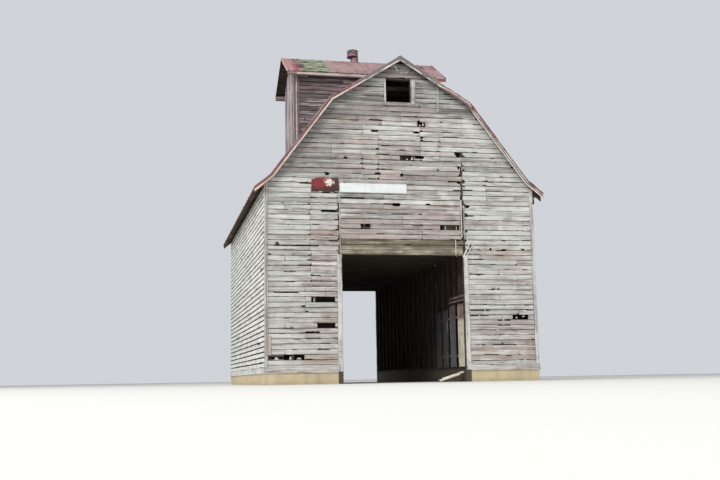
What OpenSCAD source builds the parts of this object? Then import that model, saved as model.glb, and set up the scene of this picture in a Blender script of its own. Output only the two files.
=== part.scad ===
// Weathered drive-through corn crib barn, 28 by 40 feet, with a gambrel roof
// and a gabled headhouse across its ridge. Millimetres, +Z up, front to -Y,
// origin on the ground under the middle of the barn.

/* [Barn] */
// Width of the barn across its side walls
barn_w = 8530; // [8000:10:9400]
// Length of the barn from front wall to rear wall
barn_l = 12190; // [9800:10:15000]
// Height of the concrete under the cribs
foundation_h = 360; // [200:10:600]

/* [Driveway] */
// Width of the driveway between the two cribs
alley_w = 3830; // [3400:10:4200]
// Height of the doorways above the concrete
door_h = 3505; // [3000:5:4200]

/* [Driveway guards] */
// Number of upright boards in each guard
guard_boards = 3; // [2:1:5]
// Distance from one guard board to the next
guard_pitch = 190; // [140:5:220]
// Open joint between two guard boards
guard_joint = 6; // [3:1:12]
// Thickness of the guard boards, of their rails and of the slats
guard_t = 22; // [16:1:30]
// Height of the guards above the sill
guard_h = 1900; // [1400:10:2400]
// Height of the two rails that carry the guard boards
guard_rail_h = 90; // [60:5:140]
// Distance of the rails from the foot and from the top of the guards
guard_rail_in = 300; // [150:10:450]
// Height of the two loose slats above the guards
slat_h = 70; // [50:5:100]
// Distance from one slat to the next
slat_pitch = 120; // [105:5:200]
// Distance of the lower slat above the guards
slat_rise = 115; // [70:5:250]
// Length of the slats
slat_l = 1500; // [900:10:2400]

/* [Roof] */
// Height of the eave edges above the ground
eave_z = 5840; // [5600:10:6600]
// Reach of the eaves beyond the side walls
eave_out = 300; // [180:10:450]
// Distance from each side wall in to the kick of the roof
kick_in = 190; // [80:10:240]
// Rise of the flared foot of the roof
flare_rise = 400; // [300:10:480]
// Rise of the steep lower slope
lower_rise = 2460; // [2100:10:3000]
// Rise of the flatter upper slope
upper_rise = 1405; // [1100:5:1800]
// Distance from the driveway out to the break of the roof
break_out = 320; // [260:10:420]
// Thickness of the roof boards with their sheet metal
deck_t = 30; // [20:1:45]
// Overhang of the roof past the end walls
rake_out = 200; // [100:10:350]
// Depth of the rake boards along the end overhangs
rake_h = 130; // [80:5:200]

/* [Frame] */
// Thickness of studs, joists and rafters
stud_w = 50; // [38:1:75]
// Depth of the wall studs
stud_d = 150; // [100:5:180]
// Distance between studs, joists and rafters
bay = 610; // [500:10:760]
// Height of the sills on the concrete
sill_h = 100; // [50:5:160]
// Height of the plates on the side walls
plate_h = 100; // [50:5:160]
// Depth of the rafters
rafter_d = 130; // [90:5:160]
// Depth of the seats cut in the rafters over plates and purlins
seat = 50; // [20:5:60]
// Height of the purlins under the break of the roof
purlin_h = 200; // [120:10:300]
// Height of the ridge board
ridge_h = 200; // [150:10:260]
// Height of the headers over the doorways
header_h = 250; // [220:10:320]
// Depth of the loft joists
joist_d = 200; // [120:10:220]
// Thickness of the loft floor
floor_t = 25; // [18:1:40]
// Thickness of the collar ties
collar_t = 25; // [18:1:40]
// Height of the collar ties
collar_h = 150; // [90:5:200]
// Distance of the collar ties below the peak
collar_drop = 900; // [700:10:1000]

/* [Siding] */
// Thickness of the siding boards
siding_t = 22; // [16:1:30]
// Distance from one board row to the next
row_pitch = 155; // [120:1:200]
// Gap that is open between two board rows
row_gap = 15; // [5:1:25]

/* [Trim] */
// Thickness of corner boards, jambs, rakes and hatch trim
trim_t = 22; // [15:1:35]
// Width of the corner boards
corner_w = 110; // [80:5:160]
// Width of the boards beside the doorways
jamb_w = 150; // [90:5:180]
// Height of the skirt boards round the foot of the walls
skirt_h = 150; // [100:5:200]
// Thickness of the skirt boards
skirt_t = 25; // [15:1:40]
// Overlap of the skirt boards down the face of the concrete
skirt_lap = 30; // [0:5:60]
// Open joint between two lengths of a rake or skirt board
trim_joint = 2; // [1:0.5:4]

/* [Hatch] */
// Width of the open hatch high in each gable
hatch_w = 795; // [600:5:900]
// Height of the hatch
hatch_h = 780; // [500:5:820]
// Sideways place of the hatch from the middle of the gable
hatch_x = -45; // [-150:5:150]
// Distance from the peak down to the top of the hatch
hatch_drop = 705; // [700:5:900]
// Height of the pieces framed above and below the hatch
hatch_frame_h = 50; // [38:1:100]
// Width of the trim on the left of the hatch
hatch_trim_left = 60; // [40:5:150]
// Width of the trim on the right of the hatch
hatch_trim_right = 150; // [40:5:180]

/* [Headhouse] */
// Width of the headhouse across the barn
head_w = 5160; // [4400:10:5800]
// Depth of the headhouse along the barn
head_d = 2830; // [2500:10:3400]
// Height of the headhouse eaves above the peak of the barn
head_eave_rise = 875; // [700:5:1200]
// Rise of the headhouse roof from eave to ridge
head_rise = 1010; // [800:10:1300]
// Reach of the headhouse eaves past its walls
head_eave_out = 285; // [150:5:400]
// Overhang of the headhouse roof past its gables
head_rake_out = 335; // [150:5:450]
// Width of the posts and depth of the studs of the headhouse
head_post = 100; // [75:5:120]
// Depth of the headhouse rafters
head_rafter_d = 100; // [75:5:130]
// Depth of the seats in the headhouse rafters
head_seat = 30; // [15:5:40]
// Height of the boards under the headhouse eaves
fascia_h = 110; // [70:5:160]
// Distance from the middle to the edge of the open well under the headhouse
well_x = 1300; // [900:10:1400]

/* [Ventilator] */
// Sideways place of the ventilator on the headhouse ridge
vent_x = -130; // [-600:10:600]
// Radius of the ventilator neck
neck_r = 145; // [100:5:180]
// Height of the neck above the ridge
neck_h = 160; // [100:10:300]
// Radius of the ventilator cap
cap_r = 215; // [190:5:280]
// Height of the cap
cap_h = 300; // [200:10:400]
// Sideways shift of the bent cap on its neck
cap_shift = 65; // [0:5:65]
// Height of the dome on top of the cap
dome_h = 60; // [20:5:90]

/* [Signs] */
// Length of the bare white sign board
sign_w = 2100; // [1200:10:2400]
// Height of the bare white sign board
sign_h = 290; // [200:5:400]
// Sideways place of the middle of the white sign board
sign_x = -905; // [-950:5:950]
// Height of both signs above the lintel of the doorway
sign_rise = 1905; // [1500:5:2200]
// Width of the rusty panel beside the sign board
panel_w = 850; // [500:10:1200]
// Height of the rusty panel
panel_h = 440; // [250:10:600]
// Gap between the sign board and the rusty panel
panel_gap = 25; // [10:5:60]
// Thickness of both signs
sign_t = 20; // [10:1:30]

/* [Fallen boards] */
// Length of the board that leans on the concrete by the right crib
leaning_l = 900; // [760:10:1300]
// Length of the board that lies flat by the right crib
flat_l = 760; // [600:10:1100]
// Width of both fallen boards
fallen_w = 140; // [80:5:180]

/* [Hidden] */
$fn = 48;

half_w = barn_w / 2;
half_l = barn_l / 2;
alley_x = alley_w / 2;
sill_top = foundation_h + sill_h;
lintel_z = foundation_h + door_h;
loft_z = lintel_z + header_h;
loft_top = loft_z + floor_t;

// Faces of the frame behind the siding, and of the studs behind that
frame_x = half_w - siding_t;
frame_y = half_l - siding_t;
inner_x = frame_x - stud_d;
inner_y = frame_y - stud_d;
crib_x = alley_x + stud_d;

// Roof line of the right half as peak, break, kick and eave
peak_z = eave_z + flare_rise + lower_rise + upper_rise;
roof_x = [0, alley_x + break_out, half_w - kick_in, half_w + eave_out];
roof_z = [peak_z, eave_z + flare_rise + lower_rise, eave_z + flare_rise, eave_z];
rafter_depth = deck_t + rafter_d;
roof_y = half_l + rake_out;

// Fall of a slope, and its vertical drop for a depth square to the slope
function fall(i) = (roof_z[i] - roof_z[i + 1]) / (roof_x[i + 1] - roof_x[i]);
function drop(i, depth) = depth * sqrt(1 + fall(i) * fall(i));
function slope_z(i, x, depth) = roof_z[i] - fall(i) * (x - roof_x[i]) - drop(i, depth);
function bend_x(i, depth) =
    roof_x[i] + (drop(i - 1, depth) - drop(i, depth)) / (fall(i) - fall(i - 1));
function slope_at(x, depth) = x < bend_x(1, depth) ? 0 : x < bend_x(2, depth) ? 1 : 2;
function under_z(x, depth) = slope_z(slope_at(x, depth), x, depth);
function line_x(i, depth, from) = i == 0 ? from : i == 3 ? roof_x[3] : bend_x(i, depth);
function line_points(first, last, depth, from) = [
    for (i = [first:last])
        [line_x(i, depth, from), slope_z(min(i, 2), line_x(i, depth, from), depth)]
];
function backwards(points) = [for (i = [len(points) - 1:-1:0]) points[i]];

plate_top = under_z(frame_x, rafter_depth) + seat;
purlin_top = under_z(crib_x, rafter_depth) + seat;
purlin_z = purlin_top - purlin_h;
// A level below all of the upper rafters
break_low = slope_z(1, roof_x[1], rafter_depth) - rafter_d;

// Stations of the frames along the barn, counted from the middle
last_bay = floor((inner_y - stud_w) / bay);
stations = [for (k = [-last_bay:last_bay]) k * bay];
end_rafter_y = frame_y - stud_w / 2;
rafter_stations = concat([-end_rafter_y], stations, [end_rafter_y]);

// Hatch, clear of the studs on both sides of it
hatch_left = hatch_x - hatch_w / 2;
hatch_right = hatch_x + hatch_w / 2;
hatch_top = peak_z - hatch_drop;
hatch_z = hatch_top - hatch_h;

// Headhouse roof line and frame faces
head_x = head_w / 2;
head_y = head_d / 2;
head_frame_x = head_x - siding_t;
head_frame_y = head_y - siding_t;
head_inner_x = head_frame_x - head_post;
head_inner_y = head_frame_y - head_post;
head_eave_y = head_y + head_eave_out;
head_roof_x = head_x + head_rake_out;
head_ridge_z = peak_z + head_eave_rise + head_rise;
head_fall = head_rise / head_eave_y;
head_depth = deck_t + head_rafter_d;
function head_z(y, depth) =
    head_ridge_z - head_fall * y - depth * sqrt(1 + head_fall * head_fall);
head_plate_top = head_z(head_frame_y, head_depth) + head_seat;
head_plate_z = head_plate_top - plate_h;
head_ridge_top = head_z(stud_w / 2, deck_t);
head_foot_z = slope_z(1, head_x, 0) - bay;
head_last_bay = floor((head_inner_x - stud_w) / bay);
head_stations = [for (k = [-head_last_bay:head_last_bay]) k * bay];
head_end_rafter_x = head_frame_x - stud_w / 2;

// Well through the barn roof, framed by the rafters inside the headhouse walls
well_bays = floor(head_inner_y / bay);
well_y = well_bays * bay - stud_w / 2;

// Missing boards as [row, distance, length], the distance from the driveway,
// or for the corner slots from the side wall
left_slots = [[13, 225, 720], [8, 215, 570]];
left_corner_slots = [[2, 115, 1070]];
right_corner_slots = [[9, 285, 530]];
upper_slots = [[5, 3105, 630], [5, 585, 310], [19, 1865, 470], [26, 2465, 250], [20, 3695, 135]];
// Height of the first row above the foot of each stretch of wall
left_row = 55;
right_row = 125;
upper_row = 15;

// Guards along the driveway as [gap before it, how much taller than the common height],
// counted from the front wall
guards = [[85, 45], [270, 60], [210, -40], [200, -50]];
guard_w = guard_boards * guard_pitch - guard_joint;
function guard_start(n) = n < 0 ? -guard_w : guard_start(n - 1) + guard_w + guards[n][0];

neck_top = head_ridge_z + neck_h;
sign_z = lintel_z + sign_rise;
sign_left = sign_x - sign_w / 2;
lean_angle = asin(foundation_h / leaning_l);

wood_grey = [0.62, 0.61, 0.58];
wood_pale = [0.74, 0.73, 0.69];
wood_brown = [0.42, 0.34, 0.27];
wood_dark = [0.33, 0.27, 0.23];
rust_red = [0.50, 0.27, 0.25];
concrete = [0.70, 0.65, 0.55];

// A box between two corners
module block(low, high) {
    translate(low) cube(high - low);
}

// A shape drawn in X and Z, run along Y
module along_y(from, to) {
    translate([0, to, 0]) rotate([90, 0, 0]) linear_extrude(to - from) children();
}

// A shape drawn in Y and Z, run along X
module along_x(from, to) {
    translate([from, 0, 0]) rotate([90, 0, 90]) linear_extrude(to - from) children();
}

module both_sides() {
    children();
    mirror([1, 0, 0]) children();
}

module both_ends() {
    children();
    mirror([0, 1, 0]) children();
}

// Strip of the right roof slopes between two depths below the roof line
module roof_strip(first, last, top, bottom, from = 0) {
    polygon(concat(
        line_points(first, last, top, from),
        backwards(line_points(first, last, bottom, from))
    ));
}

// Everything under the barn's roof line at a depth, down to a level
module barn_block(depth, level, y) {
    both_sides() along_y(-y, y)
        polygon(concat(line_points(0, 3, depth, 0), [[roof_x[3], level], [0, level]]));
}

// Everything under the headhouse's roof line at a depth, down to a level
module head_block(depth, level, x) {
    both_ends() along_x(-x, x)
        polygon([[0, level], [0, head_z(0, depth)],
            [head_eave_y, head_z(head_eave_y, depth)], [head_eave_y, level]]);
}

// A missing board in a row
module slot(row, x, length, foot_z) {
    z = foot_z + row * row_pitch;
    block([x, -half_l - siding_t, z], [x + length, -frame_y + siding_t, z + row_pitch - row_gap]);
}

module inner_slots(slots, from_x, foot_z) {
    for (s = slots) slot(s[0], from_x + s[1], s[2], foot_z);
}

module corner_slots(slots, foot_z) {
    for (s = slots) slot(s[0], half_w - s[1] - s[2], s[2], foot_z);
}

// Siding of an end wall beside the doorway
module crib_front() {
    along_y(-half_l, -frame_y)
        polygon(concat(
            [[alley_x, foundation_h], [alley_x, slope_z(0, alley_x, deck_t)]],
            line_points(1, 2, deck_t, 0),
            [[half_w, under_z(half_w, deck_t)], [half_w, foundation_h]]
        ));
}

// Siding of an end wall over the doorway, open at the hatch
module gable_front() {
    difference() {
        along_y(-half_l, -frame_y)
            polygon([[-alley_x, lintel_z], [-alley_x, slope_z(0, alley_x, deck_t)],
                [0, slope_z(0, 0, deck_t)],
                [alley_x, slope_z(0, alley_x, deck_t)], [alley_x, lintel_z]]);
        block([hatch_left, -half_l - siding_t, hatch_z],
            [hatch_right, -frame_y + siding_t, hatch_top]);
    }
}

module foundation_right() {
    color(concrete) block([alley_x, -half_l, 0], [half_w, half_l, foundation_h]);
}

module foundation_left() {
    color(concrete) mirror([1, 0, 0]) foundation_right();
}

module sills() {
    color(wood_brown) both_sides() difference() {
        block([alley_x, -frame_y, foundation_h], [frame_x, frame_y, sill_top]);
        block([crib_x, -inner_y, foundation_h - sill_h], [inner_x, inner_y, sill_top + sill_h]);
    }
}

module front_wall_left() {
    color(wood_grey) mirror([1, 0, 0]) difference() {
        crib_front();
        inner_slots(left_slots, alley_x, foundation_h + left_row);
        corner_slots(left_corner_slots, foundation_h + left_row);
    }
}

module front_wall_right() {
    color(wood_grey) difference() {
        crib_front();
        corner_slots(right_corner_slots, foundation_h + right_row);
    }
}

module front_wall_upper() {
    color(wood_grey) difference() {
        gable_front();
        inner_slots(upper_slots, -alley_x, lintel_z + upper_row);
    }
}

module rear_wall_left() {
    color(wood_grey) mirror([1, 0, 0]) mirror([0, 1, 0]) crib_front();
}

module rear_wall_right() {
    color(wood_grey) mirror([0, 1, 0]) crib_front();
}

module rear_wall_upper() {
    color(wood_grey) mirror([0, 1, 0]) gable_front();
}

module right_wall() {
    color(wood_pale) along_y(-frame_y, frame_y)
        polygon([[frame_x, foundation_h], [frame_x, under_z(frame_x, rafter_depth)],
            [half_w, under_z(half_w, rafter_depth)], [half_w, foundation_h]]);
}

module left_wall() {
    mirror([1, 0, 0]) right_wall();
}

// Boards on the crib side of the studs along the driveway
module crib_walls() {
    color(wood_brown) both_sides()
        block([crib_x, -inner_y, sill_top], [crib_x + siding_t, inner_y, loft_top]);
}

// One upright of an end wall, cut off under the end rafters
module end_stud(from, to, level) {
    intersection() {
        block([from, -frame_y, level], [to, -inner_y, peak_z]);
        barn_block(rafter_depth, foundation_h, half_l);
    }
}

// Studs spread evenly over a gap between two members
module spread_studs(from, to, level) {
    count = max(round((to - from) / bay) - 1, 0);
    step = (to - from) / (count + 1);
    for (k = [1:1:count]) end_stud(from + k * step - stud_w / 2, from + k * step + stud_w / 2, level);
}

module front_studs() {
    color(wood_dark) {
        both_sides() {
            block([inner_x, -frame_y, sill_top], [frame_x, -inner_y, plate_top - plate_h]);
            block([alley_x, -frame_y, sill_top], [crib_x, -inner_y, purlin_z]);
            spread_studs(crib_x, inner_x, sill_top);
        }
        end_stud(hatch_left - stud_w, hatch_left, loft_z);
        end_stud(hatch_right, hatch_right + stud_w, loft_z);
        spread_studs(-alley_x, hatch_left - stud_w, loft_z);
        spread_studs(hatch_right + stud_w, alley_x, loft_z);
    }
}

module rear_studs() {
    mirror([0, 1, 0]) front_studs();
}

module side_studs() {
    color(wood_dark) both_sides() for (y = stations)
        block([inner_x, y - stud_w / 2, sill_top], [frame_x, y + stud_w / 2, plate_top - plate_h]);
}

module alley_studs() {
    color(wood_dark) both_sides() for (y = stations)
        block([alley_x, y - stud_w / 2, sill_top], [crib_x, y + stud_w / 2, purlin_z]);
}

// Guards of upright boards on two rails along the studs of the right crib, with
// two loose slats above the first of them
module driveway_guards() {
    rail_x = alley_x - guard_t;
    start = guard_start(0) - half_l;
    stop = guard_start(len(guards) - 1) + guard_w - half_l;
    low_rail = sill_top + guard_rail_in;
    high_rail = sill_top + guard_h - guard_rail_in - guard_rail_h;
    color(wood_pale) {
        for (n = [0:len(guards) - 1]) for (k = [0:guard_boards - 1]) {
            y = guard_start(n) + k * guard_pitch - half_l;
            block([rail_x - guard_t, y, sill_top],
                [rail_x, y + guard_pitch - guard_joint, sill_top + guard_h + guards[n][1]]);
        }
        for (z = [low_rail, high_rail])
            block([rail_x, start, z], [alley_x, stop, z + guard_rail_h]);
        for (k = [0:1]) {
            z = sill_top + guard_h + slat_rise + k * slat_pitch;
            block([rail_x, start, z], [alley_x, start + slat_l, z + slat_h]);
        }
    }
}

// Headers of both doorways, with the pieces above and below both hatches
module headers() {
    color(wood_dark) both_ends() {
        block([-alley_x, -frame_y, lintel_z], [alley_x, -inner_y, loft_z]);
        block([hatch_left, -frame_y, hatch_z - hatch_frame_h], [hatch_right, -inner_y, hatch_z]);
        block([hatch_left, -frame_y, hatch_top],
            [hatch_right, -inner_y, hatch_top + hatch_frame_h]);
    }
}

module eave_plate(grow = 0) {
    block([inner_x, -frame_y, plate_top - plate_h - grow], [frame_x, frame_y, plate_top]);
}

module break_purlin(grow = 0) {
    block([alley_x, -frame_y, purlin_z - grow], [crib_x, frame_y, purlin_top]);
}

module eave_plates() {
    color(wood_brown) both_sides() eave_plate();
}

// Purlins under the break, the ridge board and the two edges of the well
module purlins() {
    ridge_top = slope_z(0, stud_w / 2, deck_t);
    color(wood_brown) {
        both_sides() break_purlin();
        both_ends()
            block([-stud_w / 2, -frame_y, ridge_top - ridge_h], [stud_w / 2, -well_y, ridge_top]);
        both_sides() along_y(-well_y, well_y)
            polygon([[well_x, slope_z(0, well_x, rafter_depth)],
                [well_x, slope_z(0, well_x, deck_t)],
                [well_x + stud_w, slope_z(0, well_x + stud_w, deck_t)],
                [well_x + stud_w, slope_z(0, well_x + stud_w, rafter_depth)]]);
    }
}

module loft_joists() {
    color(wood_dark) for (y = stations)
        block([-crib_x, y + stud_w / 2, loft_z - joist_d], [crib_x, y + 1.5 * stud_w, loft_z]);
}

module loft_floor() {
    color(wood_brown) block([-alley_x, -inner_y, loft_z], [alley_x, inner_y, loft_top]);
}

// Upper rafters butt the ridge board or an edge of the well and seat on the purlins
module upper_rafters() {
    color(wood_dark) both_sides() difference() {
        for (y = rafter_stations)
            along_y(y - stud_w / 2, y + stud_w / 2)
                roof_strip(0, 1, deck_t, rafter_depth, stud_w / 2);
        break_purlin(rafter_d);
        block([0, -well_y, break_low], [well_x + stud_w, well_y, peak_z]);
    }
}

// Lower rafters seat on the eave plates and kick out over them
module lower_rafters() {
    color(wood_dark) both_sides() difference() {
        for (y = rafter_stations)
            along_y(y - stud_w / 2, y + stud_w / 2)
                roof_strip(1, 3, deck_t, rafter_depth);
        eave_plate(rafter_d);
    }
}

// Ties nailed to the sides of the upper rafters, clear of the well
module collar_ties() {
    low = peak_z - collar_drop;
    reach_low = (slope_z(0, 0, deck_t) - low) / fall(0);
    reach_high = (slope_z(0, 0, deck_t) - low - collar_h) / fall(0);
    color(wood_brown) both_ends() for (k = [well_bays:last_bay])
        along_y(k * bay + stud_w / 2, k * bay + stud_w / 2 + collar_t)
            polygon([[-reach_low, low], [-reach_high, low + collar_h],
                [reach_high, low + collar_h], [reach_low, low]]);
}

module roof_upper_right() {
    color(rust_red) difference() {
        along_y(trim_t - roof_y, roof_y - trim_t) roof_strip(0, 1, 0, deck_t);
        block([-well_x, -well_y, break_low], [well_x, well_y, peak_z + deck_t]);
    }
}

module roof_upper_left() {
    mirror([1, 0, 0]) roof_upper_right();
}

module roof_lower_right() {
    color(rust_red) along_y(trim_t - roof_y, roof_y - trim_t) roof_strip(1, 3, 0, deck_t);
}

module roof_lower_left() {
    mirror([1, 0, 0]) roof_lower_right();
}

// Open joint where two rake boards meet on the mitre of a bend
module rake_joint(i) {
    half = [trim_joint / 2, 0];
    top = line_points(i, i, -trim_joint, 0)[0];
    foot = line_points(i, i, rake_h + trim_joint, 0)[0];
    polygon([top - half, top + half, foot + half, foot - half]);
}

module rake_boards() {
    color(wood_pale) both_ends() both_sides() along_y(-roof_y, trim_t - roof_y) difference() {
        roof_strip(0, 3, 0, rake_h);
        for (i = [0:2]) rake_joint(i);
    }
}

// Boards up the outer edges of both end walls, from the skirt to the roof
module corner_boards() {
    edge = half_w - corner_w;
    color(wood_pale) both_ends() both_sides() along_y(-half_l - trim_t, -half_l)
        polygon([[edge, foundation_h + skirt_h], [edge, under_z(edge, deck_t)],
            [half_w, under_z(half_w, deck_t)], [half_w, foundation_h + skirt_h]]);
}

module door_jambs() {
    color(wood_pale) both_ends() both_sides()
        block([alley_x, -half_l - trim_t, foundation_h], [alley_x + jamb_w, -half_l, lintel_z]);
}

module skirt_boards() {
    low = foundation_h - skirt_lap;
    high = foundation_h + skirt_h;
    color(wood_pale) both_sides() {
        both_ends() block([alley_x + jamb_w, -half_l - skirt_t, low], [half_w - trim_joint, -half_l, high]);
        block([half_w, -half_l - skirt_t, low], [half_w + skirt_t, half_l + skirt_t, high]);
    }
}

module hatch_trim() {
    color(wood_pale) both_ends() {
        block([hatch_left - hatch_trim_left, -half_l - trim_t, hatch_z],
            [hatch_left, -half_l, hatch_top]);
        block([hatch_right, -half_l - trim_t, hatch_z],
            [hatch_right + hatch_trim_right, -half_l, hatch_top]);
    }
}

// Siding of the headhouse, cut to the barn roof that it stands on
module headhouse_rear_wall() {
    color(wood_brown) difference() {
        along_x(-head_x, head_x)
            polygon([[head_frame_y, head_foot_z], [head_frame_y, head_z(head_frame_y, head_depth)],
                [head_y, head_z(head_y, head_depth)], [head_y, head_foot_z]]);
        barn_block(0, head_foot_z - bay, half_l);
    }
}

module headhouse_front_wall() {
    mirror([0, 1, 0]) headhouse_rear_wall();
}

module headhouse_end_walls() {
    color(wood_brown) both_sides() difference() {
        along_x(head_frame_x, head_x)
            polygon([[-head_frame_y, head_foot_z], [-head_frame_y, head_z(head_frame_y, deck_t)],
                [0, head_z(0, deck_t)],
                [head_frame_y, head_z(head_frame_y, deck_t)], [head_frame_y, head_foot_z]]);
        barn_block(0, head_foot_z - bay, half_l);
    }
}

// Corner posts, wall studs and gable studs, cut to the barn roof
module headhouse_studs() {
    color(wood_dark) difference() {
        intersection() {
            both_ends() both_sides() {
                block([head_inner_x, head_inner_y, head_foot_z],
                    [head_frame_x, head_frame_y, head_plate_z]);
                for (k = [0:head_last_bay])
                    block([k * bay - stud_w / 2, head_inner_y, head_foot_z],
                        [k * bay + stud_w / 2, head_frame_y, head_plate_z]);
                for (k = [0:well_bays])
                    block([head_inner_x, k * bay - stud_w / 2, head_foot_z],
                        [head_frame_x, k * bay + stud_w / 2, head_ridge_z]);
            }
            head_block(head_depth, head_foot_z, head_x);
        }
        barn_block(0, head_foot_z - bay, half_l);
        head_ridge();
    }
}

module head_ridge() {
    block([-head_frame_x, -stud_w / 2, head_ridge_top - ridge_h],
        [head_frame_x, stud_w / 2, head_ridge_top]);
}

module head_plate(grow = 0) {
    block([-head_frame_x, head_inner_y, head_plate_z - grow],
        [head_frame_x, head_frame_y, head_plate_top]);
}

// Plates on the headhouse walls and its ridge board
module headhouse_beams() {
    color(wood_brown) {
        both_ends() head_plate();
        head_ridge();
    }
}

module headhouse_rafters() {
    tail = head_eave_y - trim_t;
    color(wood_dark) both_ends() difference() {
        for (x = concat([-head_end_rafter_x], head_stations, [head_end_rafter_x]))
            along_x(x - stud_w / 2, x + stud_w / 2)
                polygon([[stud_w / 2, head_z(stud_w / 2, deck_t)], [tail, head_z(tail, deck_t)],
                    [tail, head_z(tail, head_depth)], [stud_w / 2, head_z(stud_w / 2, head_depth)]]);
        head_plate(head_rafter_d);
    }
}

module headhouse_roof_rear() {
    color(rust_red) along_x(-head_roof_x, head_roof_x)
        polygon([[0, head_ridge_z], [head_eave_y, head_z(head_eave_y, 0)],
            [head_eave_y, head_z(head_eave_y, deck_t)], [0, head_z(0, deck_t)]]);
}

module headhouse_roof_front() {
    mirror([0, 1, 0]) headhouse_roof_rear();
}

// Corner boards and the boards under the eaves
module headhouse_trim() {
    tail = head_eave_y - trim_t;
    color(wood_pale) both_ends() {
        along_x(-head_roof_x, head_roof_x)
            polygon([[tail, head_z(tail, deck_t)], [head_eave_y, head_z(head_eave_y, deck_t)],
                [head_eave_y, head_z(head_eave_y, deck_t) - fascia_h],
                [tail, head_z(head_eave_y, deck_t) - fascia_h]]);
        both_sides() difference() {
            along_x(head_x - corner_w, head_x)
                polygon([[head_y, head_foot_z], [head_y, head_z(head_y, head_depth)],
                    [head_y + trim_t, head_z(head_y + trim_t, head_depth)],
                    [head_y + trim_t, head_foot_z]]);
            barn_block(0, head_foot_z - bay, half_l);
        }
    }
}

// Neck saddled over the headhouse ridge
module vent_neck() {
    color(rust_red) difference() {
        translate([vent_x, 0, head_ridge_z - neck_r]) cylinder(h = neck_h + neck_r, r = neck_r);
        head_block(0, head_plate_z, head_x);
    }
}

// Cap that has slipped to one side on its neck
module vent_cap() {
    wall_h = cap_h - dome_h;
    color(rust_red) translate([vent_x - cap_shift, 0, neck_top]) rotate_extrude()
        polygon([[0, 0], [cap_r, 0], [cap_r, wall_h], [neck_r, wall_h + dome_h / 2], [0, cap_h]]);
}

// Bare white board with a rusty panel on its left
module signboards() {
    color(wood_pale) block([sign_left, -half_l - sign_t, sign_z],
        [sign_left + sign_w, -half_l, sign_z + sign_h]);
    color(rust_red) block([sign_left - panel_gap - panel_w, -half_l - sign_t, sign_z],
        [sign_left - panel_gap, -half_l, sign_z + panel_h]);
}

// One board lies on the ground and one leans on the edge of the concrete
module fallen_boards() {
    y = -half_l + fallen_w;
    foot = alley_x - leaning_l * cos(lean_angle);
    color(wood_pale) {
        block([alley_x - flat_l, y + 2 * fallen_w, 0], [alley_x, y + 3 * fallen_w, siding_t]);
        translate([foot, y, 0]) rotate([0, -lean_angle, 0])
            cube([leaning_l, fallen_w, siding_t]);
    }
}

foundation_left();
foundation_right();
sills();
front_wall_left();
front_wall_right();
front_wall_upper();
rear_wall_left();
rear_wall_right();
rear_wall_upper();
left_wall();
right_wall();
crib_walls();
front_studs();
rear_studs();
side_studs();
alley_studs();
driveway_guards();
headers();
eave_plates();
purlins();
loft_joists();
loft_floor();
upper_rafters();
lower_rafters();
collar_ties();
roof_upper_left();
roof_upper_right();
roof_lower_left();
roof_lower_right();
rake_boards();
corner_boards();
door_jambs();
skirt_boards();
hatch_trim();
headhouse_front_wall();
headhouse_rear_wall();
headhouse_end_walls();
headhouse_studs();
headhouse_beams();
headhouse_rafters();
headhouse_roof_front();
headhouse_roof_rear();
headhouse_trim();
vent_neck();
vent_cap();
signboards();
fallen_boards();
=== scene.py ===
"""Looks of a drive-through corn crib barn: weathered boards, rusty sheets, timber and concrete."""

from itertools import pairwise
from math import cos, hypot, pi, radians, sin

import bmesh
import bpy
import numpy as np
from bpy.props import FloatProperty, FloatVectorProperty, IntProperty, PointerProperty
from bpy.types import Operator, Panel, PropertyGroup
from mathutils import Matrix, Vector


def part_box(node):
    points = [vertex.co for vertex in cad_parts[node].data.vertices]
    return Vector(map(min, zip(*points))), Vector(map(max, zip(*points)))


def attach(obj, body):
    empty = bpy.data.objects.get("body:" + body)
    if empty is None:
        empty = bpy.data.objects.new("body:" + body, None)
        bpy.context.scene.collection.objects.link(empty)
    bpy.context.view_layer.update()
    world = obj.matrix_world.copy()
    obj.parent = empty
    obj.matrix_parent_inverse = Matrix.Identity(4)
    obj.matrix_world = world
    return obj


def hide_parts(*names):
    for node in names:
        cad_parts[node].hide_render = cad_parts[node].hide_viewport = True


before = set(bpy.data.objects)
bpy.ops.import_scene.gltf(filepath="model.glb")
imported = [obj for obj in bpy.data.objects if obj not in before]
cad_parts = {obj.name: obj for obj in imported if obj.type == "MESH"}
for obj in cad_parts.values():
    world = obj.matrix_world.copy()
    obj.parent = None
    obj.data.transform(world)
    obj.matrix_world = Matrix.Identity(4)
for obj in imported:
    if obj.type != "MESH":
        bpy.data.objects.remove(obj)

bl_info = {
    "name": "Corn Crib Barn",
    "version": (1, 0, 0),
    "blender": (4, 5, 0),
    "location": "View3D > Sidebar > Barn",
    "description": "Builds the boards, sheets, trim and finishes of a drive-through corn crib barn",
    "category": "Add Mesh",
}

LOW, HIGH = 0, 1
X, Y, Z = 0, 1, 2


def edge(node, end, axis):
    """One side of a node's box, in metres."""
    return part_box(node)[end][axis]


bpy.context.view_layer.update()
HALF_W = edge("right_wall", HIGH, X)
HALF_L = edge("rear_wall_left", HIGH, Y)
WALL_FOOT = edge("front_wall_left", LOW, Z)
DOOR_X = edge("front_wall_right", LOW, X)
LINTEL = edge("front_wall_upper", LOW, Z)
PEAK = edge("front_wall_upper", HIGH, Z)
BOARD_T = 0.022
DECK_T = 0.030
# The roof's outer face on the right side, as (x, z) from the ridge to the eave.
ROOF_LINE = ((0.0, 10.105), (2.235, 8.700), (4.075, 6.240), (4.565, 5.840))
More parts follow.
